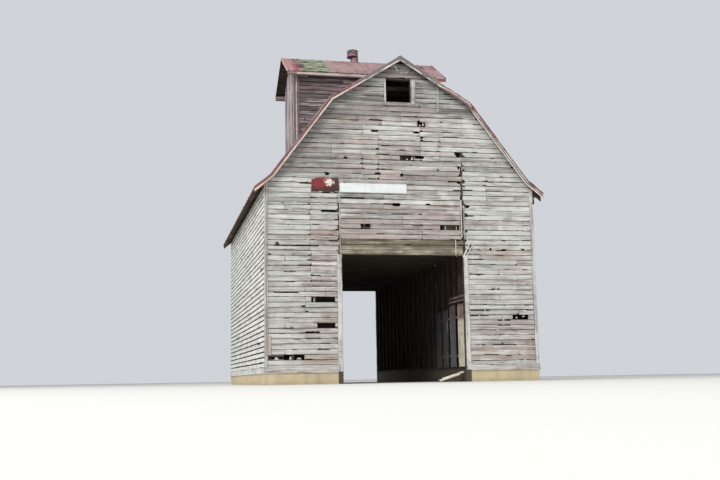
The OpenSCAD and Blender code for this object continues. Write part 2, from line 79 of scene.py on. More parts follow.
# Where each of its slopes starts, and how far it falls in a metre.
SLOPES = [(x0, z0, (z0 - z1) / (x1 - x0)) for (x0, z0), (x1, z1) in pairwise(ROOF_LINE)]
ROOF_END = edge("roof_upper_right", HIGH, Y)
HATCH_LEFT, HATCH_RIGHT, HATCH_FOOT, HATCH_TOP = -0.4425, 0.3525, 8.620, 9.400
HEAD_X = edge("headhouse_front_wall", HIGH, X)
HEAD_Y = edge("headhouse_rear_wall", HIGH, Y)
HEAD_FOOT = edge("headhouse_front_wall", LOW, Z)
HEAD_EAVE = 10.98
HEAD_RIDGE = edge("headhouse_roof_front", HIGH, Z)
HEAD_ROOF_X = edge("headhouse_roof_front", HIGH, X)
HEAD_ROOF_Y = edge("headhouse_roof_rear", HIGH, Y)
HEAD_FALL = 0.594
# The lowest full row of boards in the two crib fronts and in the wall over the door.
LEFT_FOOT, RIGHT_FOOT, UPPER_FOOT = 0.415, 0.485, 3.880
# Where the crib fronts end beside the wall over the door, and the top of its two lowest boards.
SEAM_LEFT, SEAM_RIGHT, LINTEL_TOP = -1.98, 1.95, 4.334


def rgb(red, green, blue):
    """A colour read from 0 to 255 on a screen, as the linear values that a shader takes."""
    def linear(part):
        part /= 255
        return part / 12.92 if part <= 0.04045 else ((part + 0.055) / 1.055) ** 2.4
    return linear(red), linear(green), linear(blue), 1.0


def colour(label, text, default):
    return FloatVectorProperty(name=label, description=text, default=default, size=4, subtype="COLOR",
                               min=0, max=1)


def length(label, text, default):
    return FloatProperty(name=label, description=text, default=default, unit="LENGTH")


class BarnSiding(PropertyGroup):
    """Sizes of the boards."""
    pitch: length("Row Pitch", "Height from one row of boards to the next", 0.155)
    gap: length("Gap", "Open joint between two rows of the front", 0.009)
    side_gap: length("Side Gap", "Open joint between two rows of the sides", 0.034)
    board: length("Board Length", "Length of the boards in plain walls", 3.6)
    tilt: length("Tilt", "How far a board of the front is out of level", 0.004)
    nicks: FloatProperty(name="Nicks", description="Broken places along a metre of board", default=1.5,
                         min=0)
    seed: IntProperty(name="Seed", description="Start of the random lengths, breaks and tones", default=11)


class BarnRoof(PropertyGroup):
    """Sizes of the sheets and of what carries them."""
    rib: length("Seam Pitch", "Width of a sheet between two standing seams", 0.61)
    rib_height: length("Seam Height", "Height of a standing seam", 0.022)
    dents: length("Dents", "How far the sheets are out of flat", 0.006)
    lath: length("Roof Board Pitch", "From one roof board to the next", 0.19)
    fold: length("Fold", "Height of the metal folded down over the gable edges", 0.030)
    peak_fold: length("Peak Fold", "Height of the same metal near the peak", 0.072)


class BarnColours(PropertyGroup):
    """Colours of the finishes."""
    grey_wood: colour("Grey Wood", "Bare boards silvered by weather", rgb(166, 163, 158))
    warm_wood: colour("Warm Wood", "Bare boards with a pinkish brown tint", rgb(174, 156, 148))
    paint: colour("Old Paint", "What is left of the whitish paint", rgb(198, 198, 192))
    # Dirt in cracks, and also painted shade along the rims of boards.
    dirt: colour("Dirt", "Cracks and edges", rgb(58, 50, 45))
    # Dark partly as painted shade for the frame inside the barn.
    timber: colour("Timber", "Frame inside", rgb(68, 53, 42))
    head: colour("Headhouse Wood", "Dark boards of the headhouse", rgb(100, 91, 95))
    rust: colour("Rust", "Faded rusty sheets", rgb(158, 126, 124))
    deep_rust: colour("Deep Rust", "Darker runs of rust on the sheets", rgb(116, 74, 70))
    concrete: colour("Concrete", "Pads under the cribs", rgb(200, 182, 148))


class BarnStage(PropertyGroup):
    """Light and floor."""
    sky: FloatProperty(name="Sky", description="Strength of the light from all round", default=0.75)
    key: FloatProperty(name="Key Light", description="Power of the large soft light", default=25300,
                       unit="POWER")
    floor: colour("Floor", "Plain pale floor", rgb(214, 212, 206))


# Nodes


def sign(operation, swap=False):
    """An arithmetic sign between a term and a term, a number or three numbers."""
    def work(self, other):
        return self.net.math(operation, *((other, self) if swap else (self, other)))
    return work


class Term:
    """One output of a node, which takes the signs of plain arithmetic."""

    def __init__(self, net, socket):
        self.net, self.socket = net, socket

    __add__ = __radd__ = sign("ADD")
    __sub__, __rsub__ = sign("SUBTRACT"), sign("SUBTRACT", swap=True)
    __mul__ = __rmul__ = sign("MULTIPLY")
    __truediv__ = sign("DIVIDE")


class Net:
    """Adds nodes to a tree. A call gives an output of the node that it made, as a term."""

    def __init__(self, tree):
        self.tree = tree

    def link(self, socket, term):
        self.tree.links.new(socket, term.socket)

    def fill(self, node, values):
        for key, value in values.items():
            socket = node.inputs[key]
            if isinstance(value, Term):
                self.link(socket, value)
            elif socket.type == "VECTOR" and isinstance(value, float):
                socket.default_value = (value,) * 3
            else:
                socket.default_value = value

    def add(self, kind, values=None, out=0, **settings):
        node = self.tree.nodes.new(kind)
        for name, value in settings.items():
            setattr(node, name, value)
        self.fill(node, values or {})
        return Term(self, node.outputs[out])

    def group(self, tree, values):
        """The outputs of a node group, by their names."""
        kind = "ShaderNodeGroup" if tree.bl_idname == "ShaderNodeTree" else "GeometryNodeGroup"
        node = self.tree.nodes.new(kind)
        node.node_tree = tree
        self.fill(node, values)
        return {socket.name: Term(self, socket) for socket in node.outputs}

    def math(self, operation, *values):
        """Arithmetic on numbers, or on vectors where one of the values is one."""
        wide = any(isinstance(v, tuple) or isinstance(v, Term) and v.socket.type in ("VECTOR", "RGBA")
                   for v in values)
        kind = "ShaderNodeVectorMath" if wide else "ShaderNodeMath"
        return self.add(kind, dict(enumerate(values)), operation=operation)

    def reach(self, vector):
        return self.add("ShaderNodeVectorMath", {0: vector}, 1, operation="LENGTH")

    def size(self, value):
        return self.math("ABSOLUTE", value)

    def clamp(self, value):
        return self.add("ShaderNodeClamp", {0: value})

    def xyz(self, x=0.0, y=0.0, z=0.0):
        return self.add("ShaderNodeCombineXYZ", {0: x, 1: y, 2: z})

    def split(self, vector):
        first = self.add("ShaderNodeSeparateXYZ", {0: vector})
        return tuple(Term(self, socket) for socket in first.socket.node.outputs)

    def between(self, value, low, high, kind="SMOOTHSTEP"):
        """0 at low, 1 at high, smooth or straight between them."""
        return self.add("ShaderNodeMapRange", {0: value, 1: low, 2: high}, interpolation_type=kind)

    def window(self, value, low, high, soft):
        """1 from low to high, 0 outside them."""
        return self.between(value, low - soft, low + soft) * self.between(value, high + soft, high - soft)

    def mix(self, share, a, b):
        """From colour a to colour b."""
        return self.add("ShaderNodeMix", {0: share, 6: a, 7: b}, 2, data_type="RGBA")

    def coats(self, face, *coats):
        """A colour under others, each given as its share and its colour."""
        for share, over in coats:
            face = self.mix(share, face, over)
        return face

    def noise(self, vector, scale=1.0, detail=2.0, rough=0.5, twist=0.0):
        return self.add("ShaderNodeTexNoise", {"Vector": vector, "Scale": scale, "Detail": detail,
                                               "Roughness": rough, "Distortion": twist})

    def stray(self, vector, scale, detail=3.0, rough=0.6):
        """Noise on both sides of 0."""
        return self.noise(vector, scale, detail, rough) - 0.5

    def random(self, low, high, part, seed):
        return self.add("FunctionNodeRandomValue", {2: low, 3: high, 7: part, 8: seed}, 1)

    def attribute(self, name, out=1):
        """A piece's own attribute, as a vector, or as a number where out is 2."""
        return self.add("ShaderNodeAttribute", out=out, attribute_name=name)

    def place(self):
        """The point in the barn's own frame."""
        return self.add("ShaderNodeTexCoord", out=3)

    def here(self):
        """The same point, as three numbers."""
        return self.split(self.place())

    def inside(self):
        """A point of a grid or block of size 1, as three numbers from 0 at its corner."""
        return self.split(self.add("GeometryNodeInputPosition") + (0.5, 0.5, 0.5))

    def kept(self, name):
        """A number stored on the points of a geometry tree."""
        return self.add("GeometryNodeInputNamedAttribute", {0: name}, data_type="FLOAT")

    def store(self, geometry, kind, **values):
        """The geometry with attributes on its points."""
        for name, value in values.items():
            geometry = self.add("GeometryNodeStoreNamedAttribute", {0: geometry, 2: name, 3: value},
                                data_type=kind, domain="POINT")
        return geometry

    def copies(self, points, shape):
        """A shape on each point, as plain faces."""
        spots = self.add("GeometryNodeInstanceOnPoints", {0: points, 2: shape})
        return self.add("GeometryNodeRealizeInstances", {0: spots})

    def give(self, sockets, **values):
        for name, value in values.items():
            self.link(sockets[name], value)

    def end(self, made, geometry, material):
        """Ends a geometry tree with its finish."""
        self.give(made, Geometry=self.add("GeometryNodeSetMaterial", {0: geometry, 2: material}))


SOCKETS = {"vector": "NodeSocketVector", "colour": "NodeSocketColor", "number": "NodeSocketFloat",
           "material": "NodeSocketMaterial", "geometry": "NodeSocketGeometry"}


def new_tree(name, kind, inputs, outputs):
    """A node tree with its sockets, each a kind from SOCKETS or the number that it starts from."""
    tree = bpy.data.node_groups.new(name, kind)
    for way, sockets in (("INPUT", inputs), ("OUTPUT", outputs)):
        for label, value in sockets.items():
            if isinstance(value, str):
                tree.interface.new_socket(label, in_out=way, socket_type=SOCKETS[value])
            else:
                sort = "NodeSocketInt" if isinstance(value, int) else "NodeSocketFloat"
                tree.interface.new_socket(label, in_out=way, socket_type=sort).default_value = value
    net = Net(tree)
    given = {socket.name: Term(net, socket) for socket in tree.nodes.new("NodeGroupInput").outputs}
    return tree, net, given, tree.nodes.new("NodeGroupOutput").inputs


def once(build):
    """Keeps what a builder makes, so that it is built one time."""
    kept = {}

    def get(*values):
        if values not in kept:
            kept[values] = build(*values)
        return kept[values]
    return get


def node_tree(*form):
    """Makes a builder give a node tree of this form, which is built when it is first asked for."""
    def wrap(build):
        def make():
            tree, *parts = new_tree(*form)
            build(*parts)
            return tree
        return once(make)
    return wrap


# Effects that several finishes share


@node_tree("wood grain", "ShaderNodeTree", {"Grain": "vector"}, {
    "Streaks": "number", "Lines": "number", "Cracks": "number", "Blotches": "number"})
def wood_grain(net, given, made):
    """Streaks, fine lines, cracks and blotches of a board.

    Grain is metres along the board, metres across it and a number of the board's own.
    """

    def stretched(along, across, part, detail=2.0, rough=0.5):
        return net.noise(given["Grain"] * (along, across, part), 1.0, detail, rough)
    crack = net.size(stretched(0.55, 26.0, 7.7) - 0.5)
    streaks = stretched(0.9, 34.0, 17.3, 4.0, 0.62) * 0.5 + stretched(0.7, 13.0, 11.9, 3.0, 0.6) * 0.5
    sparse = net.between(stretched(0.8, 6.0, 5.1, 1.0), 0.5, 0.6)
    net.give(made,
             Streaks=net.between(streaks, 0.33, 0.67, "LINEAR"),
             Lines=net.between(stretched(3.0, 170.0, 31.0), 0.2, 0.8, "LINEAR"),
             Cracks=net.between(crack, 0.02, 0.006) * sparse,
             Blotches=net.between(stretched(1.3, 7.0, 3.3, 3.0, 0.55), 0.28, 0.72, "LINEAR"))


@node_tree("old paint", "ShaderNodeTree", {
    "Streaks": 0.5, "Blotches": 0.5, "Place": "vector", "Amount": 0.5}, {"Mask": "number"})
def old_paint(net, given, made):
    """Where paint still sticks: along the grain, in blotches, up to an amount from 0 to 1."""
    wide = net.between(net.noise(given["Place"], 0.9, 3.0, 0.6), 0.3, 0.7, "LINEAR")
    field = given["Streaks"] * 0.42 + given["Blotches"] * 0.33 + wide * 0.25
    limit = 0.80 - given["Amount"] * 0.62
    net.give(made, Mask=net.between(field - limit, -0.17, 0.17))


@node_tree("weathered wood", "ShaderNodeTree", {
    "Grain": "vector", "Place": "vector", "Light": 0.5, "Paint": 0.4, "Warm": 0.3, "Rim": 0.0,
    "Cool Wood": "colour", "Warm Wood": "colour", "Old Paint": "colour", "Dirt": "colour",
}, {"Colour": "colour", "Roughness": "number", "Height": "number"})
def weathered_wood(net, given, made):
    """Colour, roughness and height of an old board."""
    grain = net.group(wood_grain(), {"Grain": given["Grain"]})
    streaks, lines, cracks, blotches = (grain[n] for n in ("Streaks", "Lines", "Cracks", "Blotches"))
    warmth = net.clamp(given["Warm"] + (blotches - 0.5) * 0.9)
    wood = net.mix(warmth, given["Cool Wood"], given["Warm Wood"])
    # Light lifts or lowers the whole board; some low Light values are painted shade.
    wood = wood * (0.56 + streaks * 0.58 + lines * 0.16 + (given["Light"] - 0.5) * 0.9)
    mask = net.group(old_paint(), {"Streaks": streaks, "Blotches": blotches, "Place": given["Place"],
                                   "Amount": given["Paint"]})["Mask"]
    paint = given["Old Paint"] * (0.68 + (given["Light"] - 0.5) * 0.6 + lines * 0.14 + streaks * 0.38)
    face = net.mix(mask * 0.88, wood, paint)
    mottle = net.noise(given["Place"], 3.5, 3.0, 0.6)
    face = face * (0.80 + mottle * 0.36)
    grime = net.between(net.noise(given["Place"] * (1.0, 1.0, 3.0), 2.2, 4.0, 0.65), 0.46, 0.72)
    # Darker rims: dirt, and also painted shade for the dark lines between rows of boards.
    worn = net.clamp(net.between(given["Rim"], 0.15, 1.0) * (0.35 + blotches * 0.6))
    face = net.coats(face, *((share, given["Dirt"]) for share in (grime * 0.30, cracks * 0.75, worn * 0.65)))
    net.give(made, Colour=face, Roughness=0.88 - mask * 0.18,
             Height=streaks * 0.6 + lines * 0.4 + mask * 0.4 - cracks * 1.5)


@node_tree("rust bloom", "ShaderNodeTree", {
    "Place": "vector", "Runs": 0.5, "Light": 0.5, "Faded": "colour", "Deep": "colour",
    "Bare Metal": "colour", "Bare": 0.2,
}, {"Colour": "colour", "Roughness": "number", "Height": "number"})
def rust_bloom(net, given, made):
    """Colour, roughness and height of a rusty sheet. Runs are the streaks that water leaves on it."""
    broad = net.between(net.noise(given["Place"], 0.9, 4.0, 0.6, 0.4), 0.33, 0.68)
    fine = net.noise(given["Place"], 14.0, 5.0, 0.65)
    deep = broad * 0.4 + given["Runs"] * 0.5 + net.between(fine, 0.45, 0.7) * 0.3 - given["Light"] * 0.35
    face = net.mix(net.between(deep, 0.1, 0.8), given["Faded"], given["Deep"])
    bare = net.between(net.noise(given["Place"], 1.7, 3.0, 0.6, 0.6), 0.52, 0.62) * given["Bare"]
    face = net.mix(bare, face, given["Bare Metal"])
    net.give(made, Colour=face * (0.83 + given["Light"] * 0.35), Roughness=0.42 + fine * 0.5,
             Height=broad + fine * 0.5 + given["Runs"] * 0.2)


@node_tree("depth under the roof", "ShaderNodeTree", {"Place": "vector"}, {"Depth": "number"})
def roof_depth(net, given, made):
    """How deep a point of a gable lies under the main roof's outer face, square to the slope."""
    x, _, z = net.split(given["Place"])
    reach, depths = net.size(x), []
    for x0, z0, fall in SLOPES:
        depths.append((z0 + x0 * fall - reach * fall - z) * (1 / hypot(1, fall)))
    upper = net.math("MINIMUM", depths[0], depths[1])
    net.give(made, Depth=net.math("MAXIMUM", upper, depths[2]))


# Finishes


def new_finish(name):
    """Makes a painter give a finish, which is painted when it is first asked for."""
    def wrap(paint):
        def make(*values):
            material = bpy.data.materials.new(" ".join((name, *values)))
            material.use_nodes = True
            paint(Net(material.node_tree), material.node_tree.nodes["Principled BSDF"].inputs, *values)
            return material
        return once(make)
    return wrap


def put(net, shader, face, rough, height, depth, strength=0.6):
    """Sends colour, roughness and bump to the shader."""
    net.link(shader["Base Color"], face)
    net.link(shader["Roughness"], rough)
    bump = net.add("ShaderNodeBump", {"Height": height, "Distance": depth, "Strength": strength})
    net.link(shader["Normal"], bump)


def palette():
    return bpy.context.scene.barn_colours


def put_wood(net, shader, grain, tones, colours, rim=0.0):
    """Makes a finish old wood and gives its colour.

    The tones are light, paint and warmth, the colours cool wood, warm wood, paint, and dirt that also serves
    as painted shade at the rims.
    """
    values = {"Grain": grain, "Place": net.place(), "Rim": rim}
    values.update(zip(("Light", "Paint", "Warm"), tones))
    values.update(zip(("Cool Wood", "Warm Wood", "Old Paint", "Dirt"), colours))
    wood = net.group(weathered_wood(), values)
    put(net, shader, wood["Colour"], wood["Roughness"], wood["Height"], 0.002)
    shader["Specular IOR Level"].default_value = 0.25
    return wood["Colour"]


def put_boards(net, shader, *colours):
    """Makes a finish old boards, which carry their own grain, tone and rim as attributes."""
    tones = net.split(net.attribute("tone"))
    put_wood(net, shader, net.attribute("grain"), tones, colours, net.attribute("rim", 2))


@new_finish("weathered siding")
def siding_finish(net, shader):
    c = palette()
    put_boards(net, shader, c.grey_wood, c.warm_wood, c.paint, c.dirt)


@new_finish("dark headhouse boards")
def head_finish(net, shader):
    put_boards(net, shader, palette().head, rgb(116, 99, 100), rgb(180, 168, 166), rgb(44, 36, 38))


@new_finish("sheltered boards")
def guard_finish(net, shader):
    # The dark cool wood is partly painted shade, for the guards deep in the driveway.
    put_boards(net, shader, rgb(98, 98, 102), rgb(140, 118, 108), rgb(214, 205, 182), rgb(34, 28, 25))


@new_finish("tan lintel boards")
def lintel_finish(net, shader):
    """Tan boards right over the doorway."""
    put_boards(net, shader, rgb(130, 122, 108), rgb(108, 94, 76), rgb(192, 184, 164), rgb(52, 42, 32))


@new_finish("dark lining boards")
def lining_finish(net, shader):
    # Very dark colours: painted shade for the inside of the barn.
    put_boards(net, shader, rgb(46, 40, 36), rgb(54, 41, 33), rgb(84, 75, 66), rgb(20, 16, 14))


@new_finish("frame timber")
def timber_finish(net, shader, lie):
    """Frame timber. lie tells which way its grain runs."""
    x, y, z = net.here()
    level = x + y
    along, across = {"upright": (z, level), "level": (level, z), "sloping": (x + z * 0.8, y)}[lie]
    # Dark colours and low light, partly painted shade for the frame inside the barn.
    colours = rgb(76, 67, 60), palette().timber, rgb(112, 102, 92), rgb(28, 22, 18)
    put_wood(net, shader, net.xyz(along, across, level * 0.05), (0.38, 0.10, 0.45), colours)


@new_finish("rake boards")
def rake_finish(net, shader):
    """Boards under the edges of the main roof: a pale upper edge, worn brown wood, a dark foot."""
    x, y, z = net.here()
    depth = net.group(roof_depth(), {"Place": net.place()})["Depth"] + net.stray(net.place(), 2.3) * 0.022
    # Near the peak and down the left side the pale edge lies lower.
    peak = net.between(net.size(x), 1.7, 1.2)
    left = net.between(x, -1.0, -1.3)
    pale = net.window(depth - net.math("MAXIMUM", peak, left) * 0.046 + left * 0.004, 0.028, 0.064, 0.006)
    second = net.window(depth, 0.097, 0.135, 0.006) * net.between(x, 2.2, 2.4)
    eave = net.between(net.size(x), 4.1, 4.3)
    bright = net.clamp(pale + second)
    tones = (0.26 + bright * 0.30 + peak * bright * 0.24 + eave * 0.15, bright * (0.72 + peak * 0.2),
             0.45 + eave * 0.4 - peak * 0.3 + (left - left * bright) * 0.4)
    put_wood(net, shader, net.xyz(x + z * 0.8, depth, y * 0.3), tones,
             (rgb(124, 116, 110), rgb(152, 114, 106), rgb(220, 213, 205), palette().dirt))


@new_finish("headhouse trim")
def head_trim_finish(net, shader):
    """Fascia and corner boards of the headhouse, pale on their faces and dark at their foot. The fascia's
    ends, under the roof's overhang, are darker as painted shade.
    """
    x, y, z = net.here()
    out = net.size(x)
    fascia = net.between(net.size(y), 1.60, 1.62)
    foot = net.between(z, 10.880, 10.866) * fascia
    # Painted shade on the fascia where it runs on under the roof's overhang past the walls.
    end = net.between(out, HEAD_X - 0.01, HEAD_X + 0.02) * fascia
    inner = net.between(out, HEAD_X - 0.034, HEAD_X - 0.040) * (1.0 - fascia)
    dark = net.clamp(foot + inner)
    tones = 0.60 - dark * 0.32 - end * 0.18, 0.60 - dark * 0.6 - end * 0.4, 0.55 + dark * 0.4
    grain = net.xyz((x * fascia) + z * (1.0 - fascia), z * fascia + x * (1.0 - fascia), 0.3)
    face = put_wood(net, shader, grain, tones, (rgb(140, 134, 128), rgb(136, 112, 110),
                                                rgb(190, 180, 172), rgb(58, 48, 46)))
    # Rust from the roof has run over the right end of the fascia.
    ragged = x + net.stray(net.place(), 3.0) * 0.6
    rusty = net.between(ragged, 2.1, 2.45) * fascia * net.between(y, 0.0, -0.04)
    net.link(shader["Base Color"], net.mix(rusty * 0.85, face, rgb(138, 70, 54)))


@new_finish("rusty roof sheets")
def sheet_finish(net, shader):
    """Rusty sheets with runs down the slope. The headhouse's front slope is stained and patched, and a dark
    patch on it is painted shade for a hole.
    """
    c = palette()
    place, grain = net.place(), net.attribute("grain")
    light = net.split(net.attribute("tone"))[X]
    runs = net.between(net.noise(grain * (9.0, 1.1, 1.0), 1.0, 4.0, 0.6), 0.3, 0.7, "LINEAR")
    rust = net.group(rust_bloom(), {"Place": place, "Runs": runs, "Light": light, "Faded": c.rust,
                                    "Deep": c.deep_rust, "Bare Metal": rgb(168, 156, 156), "Bare": 0.26})
    x, y, z = net.split(place)
    on_head = net.between(z, HEAD_EAVE - 0.1, HEAD_EAVE) * net.between(y, 0.0, -0.04)
    stray = net.stray(place, 2.6, 4.0, 0.65)
    ragged = x + stray * 0.30
    waves = net.noise(net.xyz(x * 2.2, y * 11.0 + stray * 3.0, 0.0), 1.0, 3.0, 0.6)
    moss = net.mix(net.between(waves, 0.42, 0.58), rgb(66, 68, 56), rgb(158, 166, 134))
    spot = net.window(ragged, -2.66, -2.47, 0.03) * net.between(y + stray, -0.5, -0.9)
    end = net.window(x, -2.96, -2.84, 0.02) * net.between(stray, 0.02, 0.10)
    # A dark patch of painted shade, where a hole in the sheets would be.
    hole_shade = net.window(ragged, -2.50, -2.20, 0.03) * net.window(y + stray * 0.8, -1.30, -0.75, 0.05)
    face = net.coats(rust["Colour"],
                     (net.window(ragged, -1.37, -1.08, 0.03) * 0.8 * on_head, rgb(158, 134, 130)),
                     (net.window(ragged, -2.28, -1.37, 0.03) * on_head, moss),
                     (net.between(ragged, -2.50, -2.62) * 0.7 * on_head, rgb(178, 132, 132)),
                     (net.clamp(spot + end) * 0.8 * on_head, rgb(150, 58, 54)),
                     (hole_shade * 0.9 * on_head, rgb(62, 46, 44)))
    put(net, shader, face, rust["Roughness"], rust["Height"], 0.003)
    shader["Metallic"].default_value = 0.12


def put_metal(net, shader, faded, deep, bare_metal, bare, metallic):
    """Makes a finish rusty metal with upright runs and gives its colour."""
    place = net.place()
    runs = net.between(net.noise(place * (7.0, 7.0, 1.2), 1.0, 4.0, 0.6), 0.3, 0.7, "LINEAR")
    rust = net.group(rust_bloom(), {"Place": place, "Runs": runs, "Light": 0.5, "Faded": faded,
                                    "Deep": deep, "Bare Metal": bare_metal, "Bare": bare})
    put(net, shader, rust["Colour"], rust["Roughness"], rust["Height"], 0.002)
    shader["Metallic"].default_value = metallic
    return rust["Colour"]


@new_finish("rusty verge metal")
def verge_finish(net, shader):
    """Folded metal over the edges of the roof, greyer round the peak."""
    face = put_metal(net, shader, rgb(126, 82, 80), rgb(80, 47, 48), rgb(150, 142, 138), 0.4, 0.15)
    x, stray = net.here()[X], net.stray(net.place(), 1.6)
    spots = net.between(net.noise(net.place(), 9.0, 4.0, 0.65), 0.42, 0.58)
    peak = net.between(net.size(x) + stray * 0.8, 1.45, 1.0)
    face = net.coats(face, (net.window(x + stray, 1.4, 2.2, 0.2) * 0.6, rgb(168, 110, 106)),
                     (net.between(x + stray, 2.1, 2.5) * (0.3 + spots * 0.6), rgb(92, 54, 42)),
                     (net.window(x + stray * 0.4, 1.0, 1.5, 0.08) * 0.9, rgb(170, 160, 132)),
                     (peak * 0.95, rgb(106, 104, 106)))
    net.link(shader["Base Color"], face)


@new_finish("rusty ventilator")
def vent_finish(net, shader):
    """Rusty metal, dark along the rims and the bands of neck and cap."""
    face = put_metal(net, shader, rgb(142, 112, 116), rgb(84, 54, 62), rgb(164, 148, 150), 0.5, 0.2)
    x, _, z = net.here()
    height = z + net.stray(net.place(), 5.0) * 0.05
    joint, top = edge("vent_cap", LOW, Z), edge("vent_cap", HIGH, Z)
    red = net.window(height, joint - 0.02, joint + 0.035, 0.012)
    band = net.window(height + x * 0.25, joint + 0.055, joint + 0.105, 0.010)
    rim = net.between(height, top - 0.105, top - 0.08)
    side = net.between(x, -0.29, -0.37) * net.between(z, joint + 0.05, joint + 0.15)
    face = net.coats(face, (red * 0.85, rgb(66, 28, 32)), (band * 0.95, rgb(52, 24, 36)),
                     (rim * 0.9, rgb(54, 48, 50)), (side * 0.7, rgb(88, 84, 86)))
    net.link(shader["Base Color"], face)


@new_finish("old concrete")
def concrete_finish(net, shader):
    place = net.place()
    broad = net.between(net.noise(place, 1.3, 4.0, 0.6), 0.32, 0.7)
    fine = net.noise(place, 38.0, 4.0, 0.7)
    stones = net.add("ShaderNodeTexVoronoi", {"Vector": place, "Scale": 42.0})
    runs = net.between(net.noise(place * (5.0, 5.0, 0.6), 1.0, 3.0, 0.6), 0.5, 0.75)
    x, _, z = net.split(place)
    damp = net.between(z, 0.16, 0.0) * (0.4 + broad * 0.5)
    # The faces beside the driveway are darkened: painted shade of the driveway, with brown soil in it.
    beside = net.between(net.size(x), DOOR_X + 0.17, DOOR_X + 0.13)
    face = net.coats(palette().concrete, (broad, rgb(182, 168, 138)), (runs * 0.5, rgb(150, 138, 110)),
                     (net.between(fine, 0.4, 0.7) * 0.30, rgb(128, 114, 92)),
                     (net.between(stones, 0.22, 0.05) * 0.3, rgb(214, 202, 176)),
                     (net.clamp(damp) * 0.5, rgb(126, 116, 88)), (beside * 0.92, rgb(48, 42, 35)))
    put(net, shader, face, 0.78 + fine * 0.2, fine + broad * 0.6, 0.004)


@new_finish("bare white board")
def white_sign_finish(net, shader):
    place, rim = net.place(), net.attribute("rim", 2)
    streaks = net.noise(place * (1.2, 1.0, 9.0), 1.0, 4.0, 0.6)
    runs = net.between(net.noise(place * (16.0, 1.0, 1.4), 1.0, 3.0, 0.6), 0.5, 0.75)
    cool = net.between(net.split(place)[X], -0.9, -1.9)
    # The darker rim is dirt, and painted shade along the board's edges.
    face = net.coats(rgb(219, 221, 221), (cool * 0.7, rgb(210, 218, 214)),
                     (net.between(streaks, 0.35, 0.7) * 0.6, rgb(202, 206, 204)),
                     (runs * 0.3, rgb(168, 164, 150)), (rim * 0.35, rgb(140, 132, 120)))
    put(net, shader, face, 0.5 + runs * 0.2, streaks, 0.001)


@new_finish("flaking red panel")
def red_panel_finish(net, shader):
    """Red paint that flakes to dark rust, with a ragged pale patch."""
    place = net.place()
    x, _, z = net.split(place)
    stray = net.stray(place, 7.0, 4.0, 0.65)
    # Paint is left at the top and left, and the rest is dark rust with specks of red.
    worn = net.clamp(net.between(x + stray * 0.5, -2.38, -2.16) + net.between(z + stray * 0.3, 5.96, 5.84))
    specks = net.noise(place, 17.0, 4.0, 0.65, 0.6) + worn * 0.15
    flakes = net.between(specks, 0.47, 0.62)
    brown = net.between(net.noise(place, 6.0, 3.0, 0.6), 0.45, 0.65)
    out = net.reach(net.xyz((x + 2.28) / 0.115, 0.0, (z - 6.08) / 0.105))
    torn = net.stray(place, 19.0, 4.0, 0.7)
    face = net.coats(rgb(140, 18, 30), (flakes, rgb(50, 29, 25)), (brown * 0.4, rgb(84, 50, 44)),
                     (net.between(out + torn * 4.5, 1.15, 0.85), rgb(216, 202, 190)),
                     (net.between(torn, 0.13, 0.2), rgb(176, 150, 142)))
    put(net, shader, face, 0.5 + flakes * 0.25, flakes, 0.0015)


@new_finish("rusty nail heads")
def nail_finish(net, shader):
    spots = net.noise(net.place(), 60.0)
    put(net, shader, net.mix(spots, rgb(70, 48, 40), rgb(112, 84, 70)), 0.5 + spots * 0.3, spots, 0.0005)
    shader["Metallic"].default_value = 0.4


@new_finish("pale floor")
def floor_finish(net, shader):
    soft = net.between(net.noise(net.place(), 0.15), 0.3, 0.7)
    face = net.mix(soft * 0.06, bpy.context.scene.barn_stage.floor, rgb(196, 194, 188))
    net.link(shader["Base Color"], face)
    shader["Roughness"].default_value = 0.9
    shader["Specular IOR Level"].default_value = 0.1


# Pieces


def in_scene(name, data):
    """A new object of the scene."""
    made = bpy.data.objects.new(name, data)
    bpy.context.scene.collection.objects.link(made)
    return made


def piece(name, mesh, slot, *nodes):
    """A mesh as a piece of the barn that stands for some of the frame's nodes."""
    made = in_scene(name, mesh)
    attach(made, "root")
    if nodes:
        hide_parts(*nodes)


def joined(meshes):
    """Several meshes as one, with their attributes."""
    parts = [in_scene("part", mesh) for mesh in meshes]
    with bpy.context.temp_override(active_object=parts[0], object=parts[0], selected_objects=parts,
                                   selected_editable_objects=parts):
        bpy.ops.object.join()
    mesh = parts[0].data
    bpy.data.objects.remove(parts[0])
    return mesh


def soft_step(value, low, high):
    share = np.clip((value - low) / (high - low), 0, 1)
    return share * share * (3 - 2 * share)


def slope_x(part, z):
    """Distance from the middle to the underside of the roof on one of its slopes."""
    x0, z0, fall = SLOPES[part]
    return x0 + (z0 - DECK_T * hypot(1, fall) - z) / fall


def half_width(z):
    """Half the width of the gable wall at a height."""
    return np.minimum(np.minimum(HALF_W, slope_x(0, z)), np.maximum(slope_x(1, z), slope_x(2, z)))


